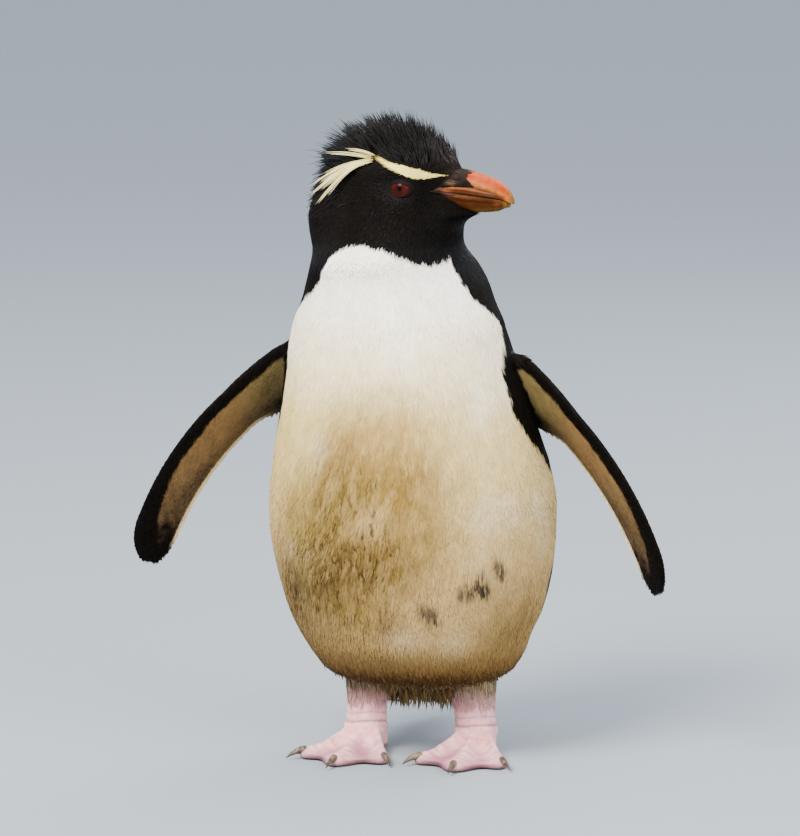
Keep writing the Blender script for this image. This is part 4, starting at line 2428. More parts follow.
    def piece(
        self, name: str, feathers: Feathers, slot: Slot, chart: Optional[Array] = None
    ) -> bpy.types.Object:
        """Make one piece of the coat.

        Args:
            name: Its name.
            feathers: Its feathers.
            slot: The record's finish that it takes.
            chart: The roots' places on the unwrapped skin, where it isn't the body's.

        Returns:
            The piece.
        """
        if len(feathers.roots) > self.most:
            LOG.warning("%s has %d feathers, over %d", name, len(feathers.roots), self.most)
        chart = self.chart(feathers.roots) if chart is None else chart
        finish = FeatherFinish() if slot is Slot.BODY else DARK_FEATHER
        return add_piece(name, feathers.mesh(name, chart), finish, slot)


@dataclass(frozen=True)
class Bill:
    """The bill: a ridged and hooked upper half, a deep lower half, and the skin of the gape.

    Attributes:
        gape: How far ahead of the head's middle the bill starts.
        length: Its length from there to the tip.
        gape_height: The height of the mouth's line at its start.
        drop: How far that line falls to the tip.
        upper_depth: How high the upper half stands over that line.
        lower_depth: How deep the lower half hangs under it.
        half_width: Half the bill's width at its root.
        hook: How far the upper half's tip bends down.
        hook_start: The share of the length where that bend starts.
        edge_width: Half the width that is left at the tip.
        upper_start: The upper half's height at the gape.
        upper_rise: The share of the length over which it reaches its full height.
        lower_start: The lower half's depth at the gape.
        lower_rise: The share of the length over which it reaches its full depth.
        lower_narrower: How wide the lower half is, as a share of the upper half.
        lower_end: The share of the length at which the lower half ends.
        mouth_gap: Half the gap between the two halves.
        flare: How much wider the bill gets towards the gape, on each side.
        flare_length: How far from its start that widening reaches.
    """

    gape: float = 38.0 * MM
    length: float = 48.5 * MM
    gape_height: float = 367.5 * MM
    drop: float = 5.5 * MM
    upper_depth: float = 14.2 * MM
    lower_depth: float = 12.0 * MM
    half_width: float = 9.8 * MM
    hook: float = 2.6 * MM
    hook_start: float = 0.8
    edge_width: float = 1.0 * MM
    upper_start: float = 1.6 * MM
    upper_rise: float = 0.30
    lower_start: float = 1.4 * MM
    lower_rise: float = 0.35
    lower_narrower: float = 0.9
    lower_end: float = 0.93
    mouth_gap: float = 0.35 * MM
    flare: float = 6.2 * MM
    flare_length: float = 23.0 * MM
    # How much of the upper half's side shows above the mouth's line, and of the lower half's
    # side below it, by distance ahead of the head's middle, in millimetres.
    bare_above: Table = (
        (38.0, 0.2), (41.0, 1.6), (45.3, 3.0), (50.0, 4.0), (57.0, 4.6), (63.0, 5.6), (66.0, 14.0),
    )
    bare_below: Table = (
        (38.0, 0.5), (41.2, 1.6), (45.3, 2.9), (50.3, 4.6), (56.9, 7.8), (63.5, 10.0), (66.0, 14.0),
    )
    # How far ahead the wedge of feathers on the upper half reaches, by height over the mouth's
    # line, both in millimetres; how many feathers are tried there, from where and over what length.
    wedge_edge: Table = (
        (3.0, 54.0), (4.4, 65.0), (5.5, 64.0), (7.5, 60.5), (10.0, 58.0), (12.0, 58.0), (13.2, 60.0),
        (15.0, 61.0),
    )
    wedge_count: int = 12000
    wedge_start: float = 44.0
    wedge_length: float = 21.0
    orange: Colour = (0.320, 0.041, 0.0040)
    orange_pale: Colour = (0.410, 0.098, 0.036)
    amber: Colour = (0.043, 0.0100, 0.0006)
    horn_brown: Colour = (0.020, 0.0065, 0.0009)
    horn_grey: Colour = (0.120, 0.066, 0.038)
    lateral: Colour = (0.235, 0.071, 0.016)
    ochre: Colour = (0.300, 0.110, 0.018)
    tomium: Colour = (0.026, 0.0070, 0.0004)
    gape_tan: Colour = (0.095, 0.034, 0.011)
    tip_ochre: Colour = (0.230, 0.115, 0.018)
    groove_dark: Colour = (0.014, 0.004, 0.002)
    nostril_dark: Colour = (0.020, 0.012, 0.010)
    gape_pink: Colour = (0.072, 0.028, 0.020)

    def line(self, share: Array) -> Array:
        """Return the height of the mouth's line at shares of the bill's length."""
        hook = np.maximum((share - self.hook_start) / (1.0 - self.hook_start), 0.0)
        return self.gape_height - self.drop * share - self.hook * hook**2

    def sizes(self, share: Array, upper: bool) -> tuple[Array, Array]:
        """Return the half width and the depth of one half of the bill.

        Args:
            share: Shares of the bill's length.
            upper: Whether it is the upper half.

        Returns:
            Half widths and depths.
        """
        taper = np.sqrt(np.maximum(1.0 - share**2.6, 0.0))
        half = self.edge_width + (self.half_width - self.edge_width) * taper
        flare = self.flare * np.maximum(1.0 - share * self.length / self.flare_length, 0.0) ** 1.25
        if upper:
            rise = np.minimum(share / self.upper_rise, 1.0) ** 0.8
            return half + flare, self.upper_start + (self.upper_depth - self.upper_start) * rise * taper
        rise = np.minimum(share / self.lower_rise, 1.0) ** 0.8 * np.sqrt(np.maximum(1.0 - share**2, 0.0))
        rise = rise * (1.0 - 0.45 * ease(0.78, 0.95, share))
        deep = self.lower_start + (self.lower_depth - self.lower_start) * rise
        return half * self.lower_narrower + flare * 1.1, deep

    def shows(self, inner: Array, soft: float) -> Array:
        """Tell where the bill's horn shows beside the face.

        Args:
            inner: Points in the head's frame.
            soft: How wide the change at its border is.

        Returns:
            1 where it shows and 0 where feathers cover it.
        """
        ahead = inner[..., 0] / MM
        share = np.clip((inner[..., 0] - self.gape) / self.length, 0.0, 1.0)
        above = inner[..., 2] - self.line(share)
        top = read(self.bare_above, ahead) * MM
        low = read(self.bare_below, ahead) * MM
        inside = np.minimum(top - above, low + above)
        return ease(-soft, soft, inside) * ease(self.gape, self.gape + 2.0 * MM, inner[..., 0])

    def covers(self, inner: Array) -> Array:
        """Tell which roots of feathers would stand on the bill's bare horn."""
        return self.shows(inner, 0.2 * MM) > 0.5

    def bed(self, inner: Array) -> Array:
        """Draw the face's skin in under the bill's horn.

        Args:
            inner: Points of the skin in the head's frame.

        Returns:
            The points after the change.
        """
        share = np.clip((inner[..., 0] - self.gape) / self.length, 0.0, 1.0)
        above = inner[..., 2] - self.line(share)
        half, deep = self.sizes(share, True)
        lower_half, lower_deep = self.sizes(share, False)
        level = np.where(above >= 0.0, above / deep, -above / lower_deep)
        wide = np.where(above >= 0.0, half, lower_half)
        wide = wide * np.maximum(1.0 - np.clip(level, 0.0, 1.0) ** 2, 0.0) ** 0.31
        target = np.maximum(wide - 1.6 * MM, 1.0 * MM)
        aside = np.abs(inner[..., 1])
        over = np.maximum(aside - target, 0.0) * self.shows(inner, 1.3 * MM)
        made = inner.copy()
        made[..., 1] = np.sign(inner[..., 1]) * (aside - over)
        return made

    def rings(self, upper: bool, rows: int = 90, steps: int = 36) -> tuple[Array, Array]:
        """Work out the points of one half of the bill and their colours.

        Args:
            upper: Whether it is the upper half.
            rows: How many sections it has.
            steps: How many points each section has on its outer side.

        Returns:
            The points, sections by points by three, in the head's frame, and their colours.
        """
        last = 0.9985 if upper else self.lower_end
        spaced = np.sin(np.linspace(0.0, 1.0, rows) * math.pi / 2.0) ** 0.9
        share = (spaced * last)[:, None]
        turn = np.linspace(0.0, math.pi, steps)[None, :]
        half, deep = self.sizes(share, upper)
        wide = np.sign(np.cos(turn)) * np.abs(np.cos(turn)) ** 0.62
        high = np.maximum(np.sin(turn), 0.0) ** 1.05
        sign = 1.0 if upper else -1.0
        dent = np.zeros_like(share + turn)
        if upper:
            groove_at = 0.52 - 0.30 * share
            groove = hill(high, groove_at, 0.075) * ease(0.12, 0.3, share)
            dent = dent + 0.75 * MM * groove * ease(0.95, 0.75, share)
            edge_at = 0.14 + 0.05 * np.sin(share * 3.0)
            groove = hill(high, edge_at, 0.05) * ease(0.05, 0.2, share)
            dent = dent + 0.35 * MM * groove * ease(0.97, 0.8, share)
            nostril = hill(high, 0.50, 0.06) * hill(share, 0.37, 0.055)
            dent = dent + 1.1 * MM * nostril
            ridge = hill(high, 1.0, 0.10) * 0.45 * MM * ease(0.1, 0.3, share) * ease(1.0, 0.7, share)
        else:
            nostril = np.zeros_like(dent)
            groove = hill(high, 0.42 - 0.12 * share, 0.07) * ease(0.15, 0.35, share)
            dent = dent + 0.55 * MM * groove * ease(0.9, 0.7, share)
            ridge = np.zeros_like(dent)
        flake = Grain(91 if upper else 92)
        forward = self.gape + self.length * share + 0.0 * turn
        aside = half * wide
        reach = deep * high
        raw = np.stack([forward, aside, self.line(share) + sign * reach], axis=-1)
        flat = raw.reshape(-1, 3)
        uneven = flake.layered(flat * np.array([0.35, 1.0, 1.0]), 2.4 * MM).reshape(dent.shape) - 0.5
        dent = dent + uneven * 0.28 * MM
        size = np.maximum(np.hypot(aside, reach), 1.0 * MM)
        shrink = 1.0 - np.minimum(dent / size, 0.5) + ridge / size
        aside = aside * shrink
        reach = np.maximum(reach * shrink, 0.0)
        start = self.line(share) + sign * self.mouth_gap
        points = np.stack([forward, aside, start + sign * reach], axis=-1)
        flaked = flake.at(flat * np.array([0.55, 1.0, 1.0]), 1.5 * MM).reshape(dent.shape)
        colour = self.upper_colours(share, high, flaked) if upper else self.lower_colours(share, high)
        colour = mix(colour, self.groove_dark, np.clip(dent / (0.9 * MM), 0.0, 0.85))
        colour = mix(colour, self.nostril_dark, np.clip(nostril * 1.4, 0.0, 0.95))
        tone = 0.72 + 0.35 * (uneven + 0.5) + 0.22 * flaked
        root = ease(0.26, 0.06, share + 0.0 * turn)
        colour = mix(colour * tone[..., None], np.array(self.gape_pink) * 0.45, root * 0.65)
        colour = colour * (0.16 + 0.84 * ease(0.03, 0.16, share + 0.0 * turn))[..., None]
        return points, colour

    def upper_colours(self, share: Array, high: Array, flaked: Array) -> Array:
        """Return the upper half's colours: orange, ochre by the groove, worn horn and a dark edge.

        Args:
            share: Shares of the bill's length, one for each section.
            high: How far up the half's side each point lies, from 0 to 1.
            flaked: The pattern of the worn horn, from 0 to 1.

        Returns:
            One colour per point.
        """
        pale = ease(0.80, 0.97, high) * ease(1.0, 0.75, share) * 0.55
        colour = mix(self.orange, self.orange_pale, pale)
        by_groove = hill(high, 0.72 - 0.36 * share, 0.13) * ease(0.28, 0.5, share)
        colour = mix(colour, self.ochre, by_groove * ease(1.0, 0.8, share) * 0.75)
        colour = mix(colour, self.lateral, ease(0.60, 0.42, high + 0.30 * share) * 0.92)
        worn = hill(high, 0.50 - 0.26 * share, 0.07) * ease(0.24, 0.36, share) * ease(0.90, 0.60, share)
        colour = mix(colour, self.horn_grey, np.clip(worn * (1.9 * flaked - 0.35), 0.0, 0.85))
        band = ease(0.24, 0.16, high) * ease(0.10, 0.26, share) * ease(0.97, 0.86, share)
        colour = mix(colour, self.tomium, band * 0.9)
        colour = mix(colour, self.horn_brown, hill(share, 1.0, 0.035) * 0.6)
        return mix(colour, self.tip_ochre, ease(0.90, 0.98, share + 0.0 * high) * 0.6)

    def lower_colours(self, share: Array, high: Array) -> Array:
        """Return the lower half's colours: amber and brown, paler at the tip and the gape.

        Args:
            share: Shares of the bill's length, one for each section.
            high: How far down the half's side each point lies, from 0 to 1.

        Returns:
            One colour per point.
        """
        dull = hill(high, 0.52, 0.22) * (0.55 - 0.3 * share)
        colour = mix(self.amber, self.tomium, dull)
        colour = mix(colour, self.gape_tan, ease(0.26, 0.12, high) * ease(0.70, 0.30, share) * 0.9)
        gold = hill(high, 0.88, 0.14) * ease(0.35, 0.55, share + 0.0 * high)
        colour = mix(colour, np.array(self.tip_ochre) * 0.45, gold * 0.7)
        glow = hill(share, 0.82, 0.06) * ease(0.9, 0.3, high) * 0.4
        colour = mix(colour, np.array(self.lateral) * 0.6, glow)
        colour = mix(colour, self.horn_brown, ease(0.93, 0.99, high) * 0.7)
        colour = colour * (0.45 + 0.55 * ease(0.12, 0.45, share + 0.35 * (1.0 - high)))[..., None]
        return mix(colour, self.tip_ochre, ease(0.86, 0.93, share + 0.0 * high) * 0.6)

    def half(self, upper: bool) -> bpy.types.Object:
        """Make one half of the bill.

        Args:
            upper: Whether it is the upper half.

        Returns:
            The piece.
        """
        points, colours = self.rings(upper)
        node = "bill_upper" if upper else "bill_lower"
        mesh = tube_mesh(f"{node}_horn", HEAD.place(points), colours)
        return add_piece(f"{node}_horn", mesh, HornFinish(), Slot.BILL, [node])

    def gape_skin(self, side: Side) -> bpy.types.Object:
        """Make the strip of bare skin that runs from the mouth's corner along the bill's edge.

        Args:
            side: Which side of the face.

        Returns:
            The piece.
        """
        rows, steps = 48, 20
        run = np.linspace(0.0, 1.0, rows)[:, None]
        turn = circle(steps)[None, :]
        ahead = (37.0 + 19.0 * run) * MM
        share = np.clip((ahead - self.gape) / self.length, 0.0, 1.0)
        height = self.line(share) - 0.5 * MM * run
        seat = face_aside(ahead.ravel(), height.ravel()).reshape(rows, 1)
        on_horn = ease(38.5 * MM, 42.0 * MM, ahead)
        aside = seat * (1.0 - on_horn) + self.sizes(share, False)[0] * on_horn - 0.25 * MM
        thick = (0.30 + 0.95 * np.sin(math.pi * (0.12 + 0.80 * run)) ** 0.8) * ease(1.0, 0.55, run) * MM
        thick = np.maximum(thick * (0.55 + 0.45 * ease(0.0, 0.25, run)), 0.12 * MM)
        upper = np.sin(turn) > 0.0
        pinch = 1.0 - 0.60 * hill(np.sin(turn), 0.25, 0.25)
        spread_up = np.where(upper, 0.95, 1.15) * pinch
        out = aside + thick * np.cos(turn) * 0.7 * pinch
        up = height + thick * np.sin(turn) * spread_up
        points = np.stack([ahead + 0.0 * turn, side.in_head * out, up], axis=-1)
        tone = 0.75 + 0.5 * Grain(95).layered(points.reshape(-1, 3), 2.0 * MM)
        corner = 0.14 + 0.86 * ease(0.22, 0.52, np.broadcast_to(run, (rows, steps)).reshape(-1))
        colours = np.array(self.gape_pink) * (tone * corner)[:, None]
        dark = ease(0.35, 0.0, np.abs(np.sin(turn)) + 0.0 * run).reshape(-1) * 0.8
        colours = mix(colours, self.groove_dark, dark)
        name = f"gape_skin_{side.label}"
        finish = HideFinish("gape_hide", 900.0, 0.15 * MM, (0.5, 0.7), 0.08)
        return add_piece(name, tube_mesh(name, HEAD.place(points), colours), finish, Slot.BILL)

    def wedge(self) -> Feathers:
        """Work out the feathers that run forward over the root of the bill.

        Returns:
            The feathers.
        """
        random = np.random.default_rng(9)
        count = self.wedge_count
        ahead = (self.wedge_start + self.wedge_length * random.random(count)) * MM
        share = (ahead - self.gape) / self.length
        half, deep = self.sizes(share, True)
        line = self.line(share)
        level = np.sin(random.random(count) * math.pi / 2.0)
        height = line + self.mouth_gap + deep * level
        sign = np.where(random.random(count) < 0.5, 1.0, -1.0)
        turn = np.arcsin(np.clip(level, 0.0, 1.0))
        aside = half * np.cos(turn) ** 0.62 + 0.15 * MM
        inner = np.stack([ahead, sign * aside, height + 0.5 * MM * level], axis=1)
        edge = read(self.wedge_edge, (height - line) / MM) * MM
        ragged = (Grain(94).at(inner, 1.3 * MM) - 0.5) * 1.8 * MM
        keep = (ahead < edge + ragged) & ~self.covers(inner)
        inner, sign, turn, half, deep = inner[keep], sign[keep], turn[keep], half[keep], deep[keep]
        run = ease(50.0 * MM, 64.0 * MM, inner[:, 0])
        normals = [0.25 + 0.0 * run, sign * np.cos(turn) * deep / MM, np.sin(turn) * half / MM]
        normals = unit(HEAD.aim(unit(np.stack(normals, axis=1))))
        roots = HEAD.place(inner)
        flow = HEAD.aim(np.array([[-1.0, 0.0, 0.12]]) + 0.0 * inner)
        length = (3.8 - 1.4 * run) * MM
        lift = np.radians(6.0) + 0.0 * run
        return groom(roots, normals, flow, length, 0.75 * MM, lift, MARKS.hood, random, POINTED_LEAF)

    def root_feathers(self) -> bpy.types.Object:
        """Make the piece of feathers that runs forward over the root of the bill.

        Returns:
            The piece.
        """
        wedge = self.wedge()
        inner = HEAD.read(wedge.roots)
        chart = inner[:, [0, 2]]
        chart[:, 1] += 0.03 * (inner[:, 1] > 0.0)
        mesh = wedge.mesh("coat_bill_root", chart)
        return add_piece("coat_bill_root", mesh, DARK_FEATHER, Slot.HEAD)


def face_aside(ahead: Array, heights: Array) -> Array:
    """Return how far aside the face's coat reaches.

    Args:
        ahead: Places ahead of the head's middle.
        heights: Heights.

    Returns:
        The distance from the head's middle plane to the outer side of the coat.
    """
    base = math.radians(HEAD.turn)
    angle = np.full(np.shape(ahead), 0.4)
    for _ in range(12):
        radius = FORM.radius(base - angle, heights)
        angle = 0.5 * angle + 0.5 * np.arccos(np.clip(ahead / radius, -1.0, 1.0))
    return FORM.radius(base - angle, heights) * np.sin(angle)


BILL = Bill()


@dataclass(frozen=True)
class Eye:
    """One eye: the painted ball and the bare lid round it.

    Attributes:
        side: Which eye.
        radius: The ball's radius.
        aside: How far its middle lies from the head's middle plane.
        opening: Half the width and half the height of the opening between the lids.
        rim: Half the lid's breadth, below the eye.
        pupil: The pupil's radius.
        iris: The iris's radius.
        upper_share: How high the opening is above the eye's middle, as a share of its half height.
        gaze: How far ahead and up of the eye's middle the pupil lies.
    """

    side: Side
    radius: float = 9.0 * MM
    aside: float = 23.2 * MM
    opening: tuple[float, float] = (6.4 * MM, 4.7 * MM)
    rim: float = 1.10 * MM
    pupil: float = 1.5 * MM
    iris: float = 7.4 * MM
    iris_red: Colour = (0.021, 0.0032, 0.0024)
    iris_bright: Colour = (0.042, 0.0062, 0.0045)
    pupil_black: Colour = (0.002, 0.0012, 0.001)
    limbus_dark: Colour = (0.008, 0.004, 0.004)
    upper_share: float = 0.80
    gaze: tuple[float, float] = (1.1 * MM, 0.6 * MM)
    lid_dark: Colour = (0.0034, 0.0025, 0.0022)
    lid_grey: Colour = (0.0085, 0.0060, 0.0054)

    @property
    def middle(self) -> Array:
        """Return the ball's middle in the head's frame."""
        return np.array([EYE_FORWARD, self.side.in_head * self.aside, EYE_HEIGHT])

    def half_height(self, turn: Array) -> Array:
        """Return the opening's half height, which is less above the eye's middle."""
        return self.opening[1] * np.where(np.sin(turn) > 0.0, self.upper_share, 1.0)

    def ball(self) -> bpy.types.Object:
        """Make the eyeball, with a bulging clear front and an iris round its pupil.

        Returns:
            The piece.
        """
        rows, steps = 60, 72
        slant = np.linspace(0.02, math.pi - 0.02, rows)[:, None]
        turn = circle(steps)[None, :]
        off = self.radius * np.sin(slant) + 0.0 * turn
        bulge = 0.25 * MM * hill(off, 0.0, 5.5 * MM) * (slant < 1.5)
        reach = (self.radius + bulge) * np.cos(slant)
        points = np.stack([off * np.cos(turn), self.side.in_head * reach, off * np.sin(turn)], axis=-1)
        placed = HEAD.place(points + self.middle)
        rays = 0.5 + 0.5 * np.sin(turn * 37.0 + 3.0 * np.sin(turn * 5.0))
        ring = hill(off, 4.6 * MM, 1.6 * MM) * (0.45 + 0.55 * rays)
        colour = mix(self.iris_red, self.iris_bright, ring)
        seen = np.hypot(off * np.cos(turn) - self.gaze[0], off * np.sin(turn) - self.gaze[1])
        in_pupil = ease(self.pupil + 0.25 * MM, self.pupil - 0.1 * MM, seen)
        colour = mix(colour, self.pupil_black, in_pupil)
        limbus = ease(self.iris - 1.0 * MM, self.iris, off) + (slant > 1.5) * 1.0
        colour = mix(colour, self.limbus_dark, np.clip(limbus, 0.0, 1.0))
        tall = self.half_height(turn)
        framed = np.hypot(off * np.cos(turn) / self.opening[0], off * np.sin(turn) / tall)
        colour = mix(colour, self.lid_dark, ease(1.12, 1.32, framed))
        name = f"eyeball_{self.side.label}"
        mesh = tube_mesh(name, placed, colour)
        return add_piece(name, mesh, EyeFinish(), Slot.EYE, [f"eye_{self.side.label}"])

    def lid(self) -> bpy.types.Object:
        """Make the bare wrinkled rim round the eye, thicker above than below.

        Returns:
            The piece.
        """
        steps, around = 96, 20
        turn = circle(steps)[:, None]
        section = circle(around)[None, :]
        above = 0.5 + 0.5 * np.sin(turn)
        corner = np.abs(np.cos(turn)) ** 6
        wide = self.opening[0] * (1.0 + 0.06 * corner)
        high = self.half_height(turn)
        thick = (0.62 + 0.38 * above + 0.06 * np.sin(turn * 23.0)) * MM
        broad = (self.rim + 0.15 * above * MM) * (1.0 + np.cos(section))
        flat_x = wide * np.cos(turn) + np.cos(turn) * broad
        flat_z = high * np.sin(turn) + np.sin(turn) * broad
        away = np.minimum(np.hypot(flat_x, flat_z), self.radius * 0.97)
        seat = np.sqrt(np.maximum((self.radius + 0.12 * MM) ** 2 - away**2, 0.0))
        folds = 0.10 * MM * np.sin(section * 3.0 + turn * 11.0)
        raised = seat + (thick * 0.62 + folds) * np.maximum(np.sin(section), -0.6)
        points = np.stack([flat_x, self.side.in_head * raised, flat_z], axis=-1)
        placed = HEAD.place(points + self.middle)
        tone = Grain(97).layered(points.reshape(-1, 3), 1.6 * MM)
        crest = ease(0.1, 0.9, np.sin(section) * (0.4 + 0.6 * above)).reshape(-1)
        colours = mix(self.lid_dark, self.lid_grey, tone * crest)
        faces = []
        for row in range(steps):
            here = row * around
            there = (row + 1) % steps * around
            for place in range(around):
                following = (place + 1) % around
                faces.append((here + place, here + following, there + following, there + place))
        name = f"eyelid_{self.side.label}"
        mesh = shape(name, placed.reshape(-1, 3), faces, colours)
        turn_out(mesh)
        finish = HideFinish("lid_hide", 1500.0, 0.12 * MM, (0.5, 0.7), 0.05)
        return add_piece(name, mesh, finish, Slot.HEAD)

    def build(self) -> None:
        """Make the ball and its lid."""
        self.ball()
        self.lid()


@dataclass
class Strands:
    """Long thin feathers, each a tapered keeled blade along its own curve.

    Attributes:
        curves: The blades' middle lines, blades by points by three, in the design frame.
        facing: The direction that each blade's broad side faces.
        width: Each blade's greatest width.
        thick: Each blade's greatest thickness.
        colours: The colour of each blade at its root and at its tip.
        fullness: The share of its length at which a blade is widest.
    """

    curves: Array
    facing: Array
    width: Array
    thick: Array
    colours: Array
    fullness: float = 0.45

    def mesh(self, name: str) -> bpy.types.Mesh:
        """Make the mesh of all the blades.

        Args:
            name: The mesh's name.

        Returns:
            The mesh.
        """
        count, steps = self.curves.shape[:2]
        place = np.linspace(0.0, 1.0, steps)
        grow = np.minimum(place / self.fullness, 1.0) ** 0.6 * np.maximum(1.0 - place**2.2, 0.0) ** 0.7
        grow = np.maximum(grow, 0.06)
        along = unit(np.gradient(self.curves, axis=1))
        facing = np.broadcast_to(self.facing[:, None, :], along.shape)
        side = unit(np.cross(along, facing))
        front = unit(np.cross(side, along))
        corners = ((1.0, 0.0), (0.0, 1.0), (-1.0, 0.0), (0.0, -0.5))
        rows = []
        for aside, out in corners:
            wide = (self.width[:, None] * grow / 2.0 * aside)[..., None]
            deep = (self.thick[:, None] * grow * out)[..., None]
            rows.append(self.curves + side * wide + front * deep)
        points = np.stack(rows, axis=2)
        per = steps * 4
        faces = []
        for row in range(steps - 1):
            for corner in range(4):
                low = row * 4 + corner
                high = row * 4 + (corner + 1) % 4
                faces.append((low, high, high + 4, low + 4))
        faces += [(3, 2, 1, 0), (per - 4, per - 3, per - 2, per - 1)]
        every = [tuple(blade * per + corner for corner in face) for blade in range(count) for face in faces]
        share = np.repeat(place, 4)
        along = np.broadcast_to(share, (count, per))
        tints = mix(self.colours[:, None, 0], self.colours[:, None, 1], along)
        mesh = shape(name, points.reshape(-1, 3), every, tints.reshape(-1, 3))
        turn_out(mesh)
        chart = self.curves[:, 0]
        chart = np.stack([chart[:, 0] + 0.4 * chart[:, 1], chart[:, 2] + 0.3 * chart[:, 1]], axis=1)
        low = chart.min(axis=0)
        spots = 0.004 + 0.99 * (chart - low) / np.maximum(chart.max(axis=0) - low, 1e-9)
        inside = np.stack([np.tile([0.0, 0.5, 1.0, 0.5], steps), share], axis=1) * PATCH
        spots = (spots[:, None] + inside[None]).reshape(-1, 2)
        loops = np.zeros(len(mesh.loops), np.int32)
        mesh.loops.foreach_get("vertex_index", loops)
        layer = mesh.uv_layers.new(name="OFBake")
        layer.uv.foreach_set("vector", spots[loops].astype(np.float32).ravel())
        return mesh


def bend(start: Array, middle: Array, end: Array, steps: int) -> Array:
    """Return smooth curves through their ends, pulled towards their middles.

    Args:
        start: Where each curve starts.
        middle: What pulls it.
        end: Where it ends.
        steps: How many points it has.

    Returns:
        The curves' points.
    """
    share = np.linspace(0.0, 1.0, steps)[None, :, None]
    return (
        start[:, None] * (1.0 - share) ** 2
        + middle[:, None] * 2.0 * share * (1.0 - share)
        + end[:, None] * share**2
    )


@dataclass
class Crest:
    """The stiff black feathers that stand up and back from the crown.

    Attributes:
        soil: The skin's triangles on the head.
        density: Feathers per square metre where they stand closest.
        steps: How many points each one's middle line has.
        thick: Their thickness.
        fan: The point that the crown's feathers spread from, in the head's frame in millimetres.
        loose_share: The share of longer loose feathers at the back.
    """

    soil: Soil
    density: float = 0.72e6
    steps: int = 6
    thick: float = 0.20 * MM
    fan: Triple = (12.0, 0.0, 348.0)
    loose_share: float = 0.020

    def build(self) -> bpy.types.Object:
        """Make the crest.

        Returns:
            The piece.
        """
        random = np.random.default_rng(11)
        middles = HEAD.read(self.soil.middles) / MM
        ahead, _, up = middles.T
        on_crown = ease(377.0, 387.0, up + 0.10 * np.maximum(-ahead, 0.0))
        on_nape = ease(-14.0, -26.0, ahead) * ease(346.0, 366.0, up) * 0.45
        share = np.maximum(on_crown, on_nape) * ease(52.0, 44.0, ahead)
        share = share * np.where((ahead > 1.0) & (up < read(MARKS.brow_middle, ahead) + 1.5), 0.0, 1.0)
        roots, normals = self.soil.sow(self.density * share, random)
        ahead, aside, up = HEAD.read(roots).T / MM
        count = len(roots)
        away = unit(roots - HEAD.place(np.array(self.fan) * MM))
        back = HEAD.aim(np.array([[-1.0, 0.0, 0.0]]))
        aside_share = np.clip(np.abs(aside) / 24.0, 0.0, 1.0)[:, None]
        top = away * (1.0 - 0.65 * aside_share) + UP * 0.55 * aside_share
        top = top + back * (0.05 + 0.45 * aside_share)
        level = ease(360.0, 393.0, up)[:, None]
        rear = back + UP * (1.35 * level - 0.85)
        behind = ease(4.0, -24.0, ahead)
        base = unit(mix(unit(top), unit(rear), behind))
        base = unit(mix(base, UP - back * 0.06, ease(24.0, 34.0, ahead)))
        base = unit(mix(base, UP + back * 0.55, ease(37.0, 47.0, ahead)))
        flat = 0.80 * ease(394.0, 382.0, up) * ease(46.0, 30.0, ahead) + 0.55 * ease(44.0, 54.0, ahead)
        flat = flat[:, None]
        outward = np.maximum(np.sum(base * normals, axis=1), 0.0)[:, None]
        swing = random.normal(0.0, 1.0, (count, 3)) * 0.06
        clump = drift(101, roots, 3.4 * MM) * 0.55
        flow = unit(base - normals * outward * np.minimum(flat, 1.0) + normals * 0.10 + swing + clump)
        high = ease(380.0, 395.0, up)
        length = 7.0 + 5.5 * high + 4.5 * behind * ease(352.0, 380.0, up)
        length = (length + 4.0 * ease(30.0, 42.0, ahead)) * MM
        length = length * np.clip(1.0 + 0.22 * random.normal(size=count), 0.55, 1.5)
        loose = (random.random(count) < self.loose_share) & (behind > 0.45) & (up > 379.0) & (up < 392.0)
        length = np.where(loose, length * (1.25 + 0.30 * random.random(count)), length)
        length = length * (1.0 - 0.70 * ease(37.0, 47.0, ahead))
        length = length * (1.0 - 0.25 * ease(366.0, 352.0, up))
        start = roots - normals * 0.3 * MM
        middle = start + flow * (length * 0.55)[:, None] + normals * (length * 0.05)[:, None]
        end = start + unit(flow + back * 0.12) * length[:, None]
        curves = bend(start, middle, end, self.steps)
        tone = 0.55 + 0.9 * random.random(count) ** 2
        colour = mix(MARKS.crown, MARKS.forehead, hill(ahead, 50.0, 10.0) * 0.6) * tone[:, None]
        colours = np.stack([colour * 0.7, colour * 1.35 + 0.002], axis=1)
        width = (0.58 + 0.42 * random.random(count)) * MM
        strands = Strands(curves, normals, width, np.full(count, self.thick), colours)
        finish = FeatherFinish("feather_crest", (0.40, 0.58), 0.0, 0.14)
        return add_piece("crest", strands.mesh("crest"), finish, Slot.HEAD)


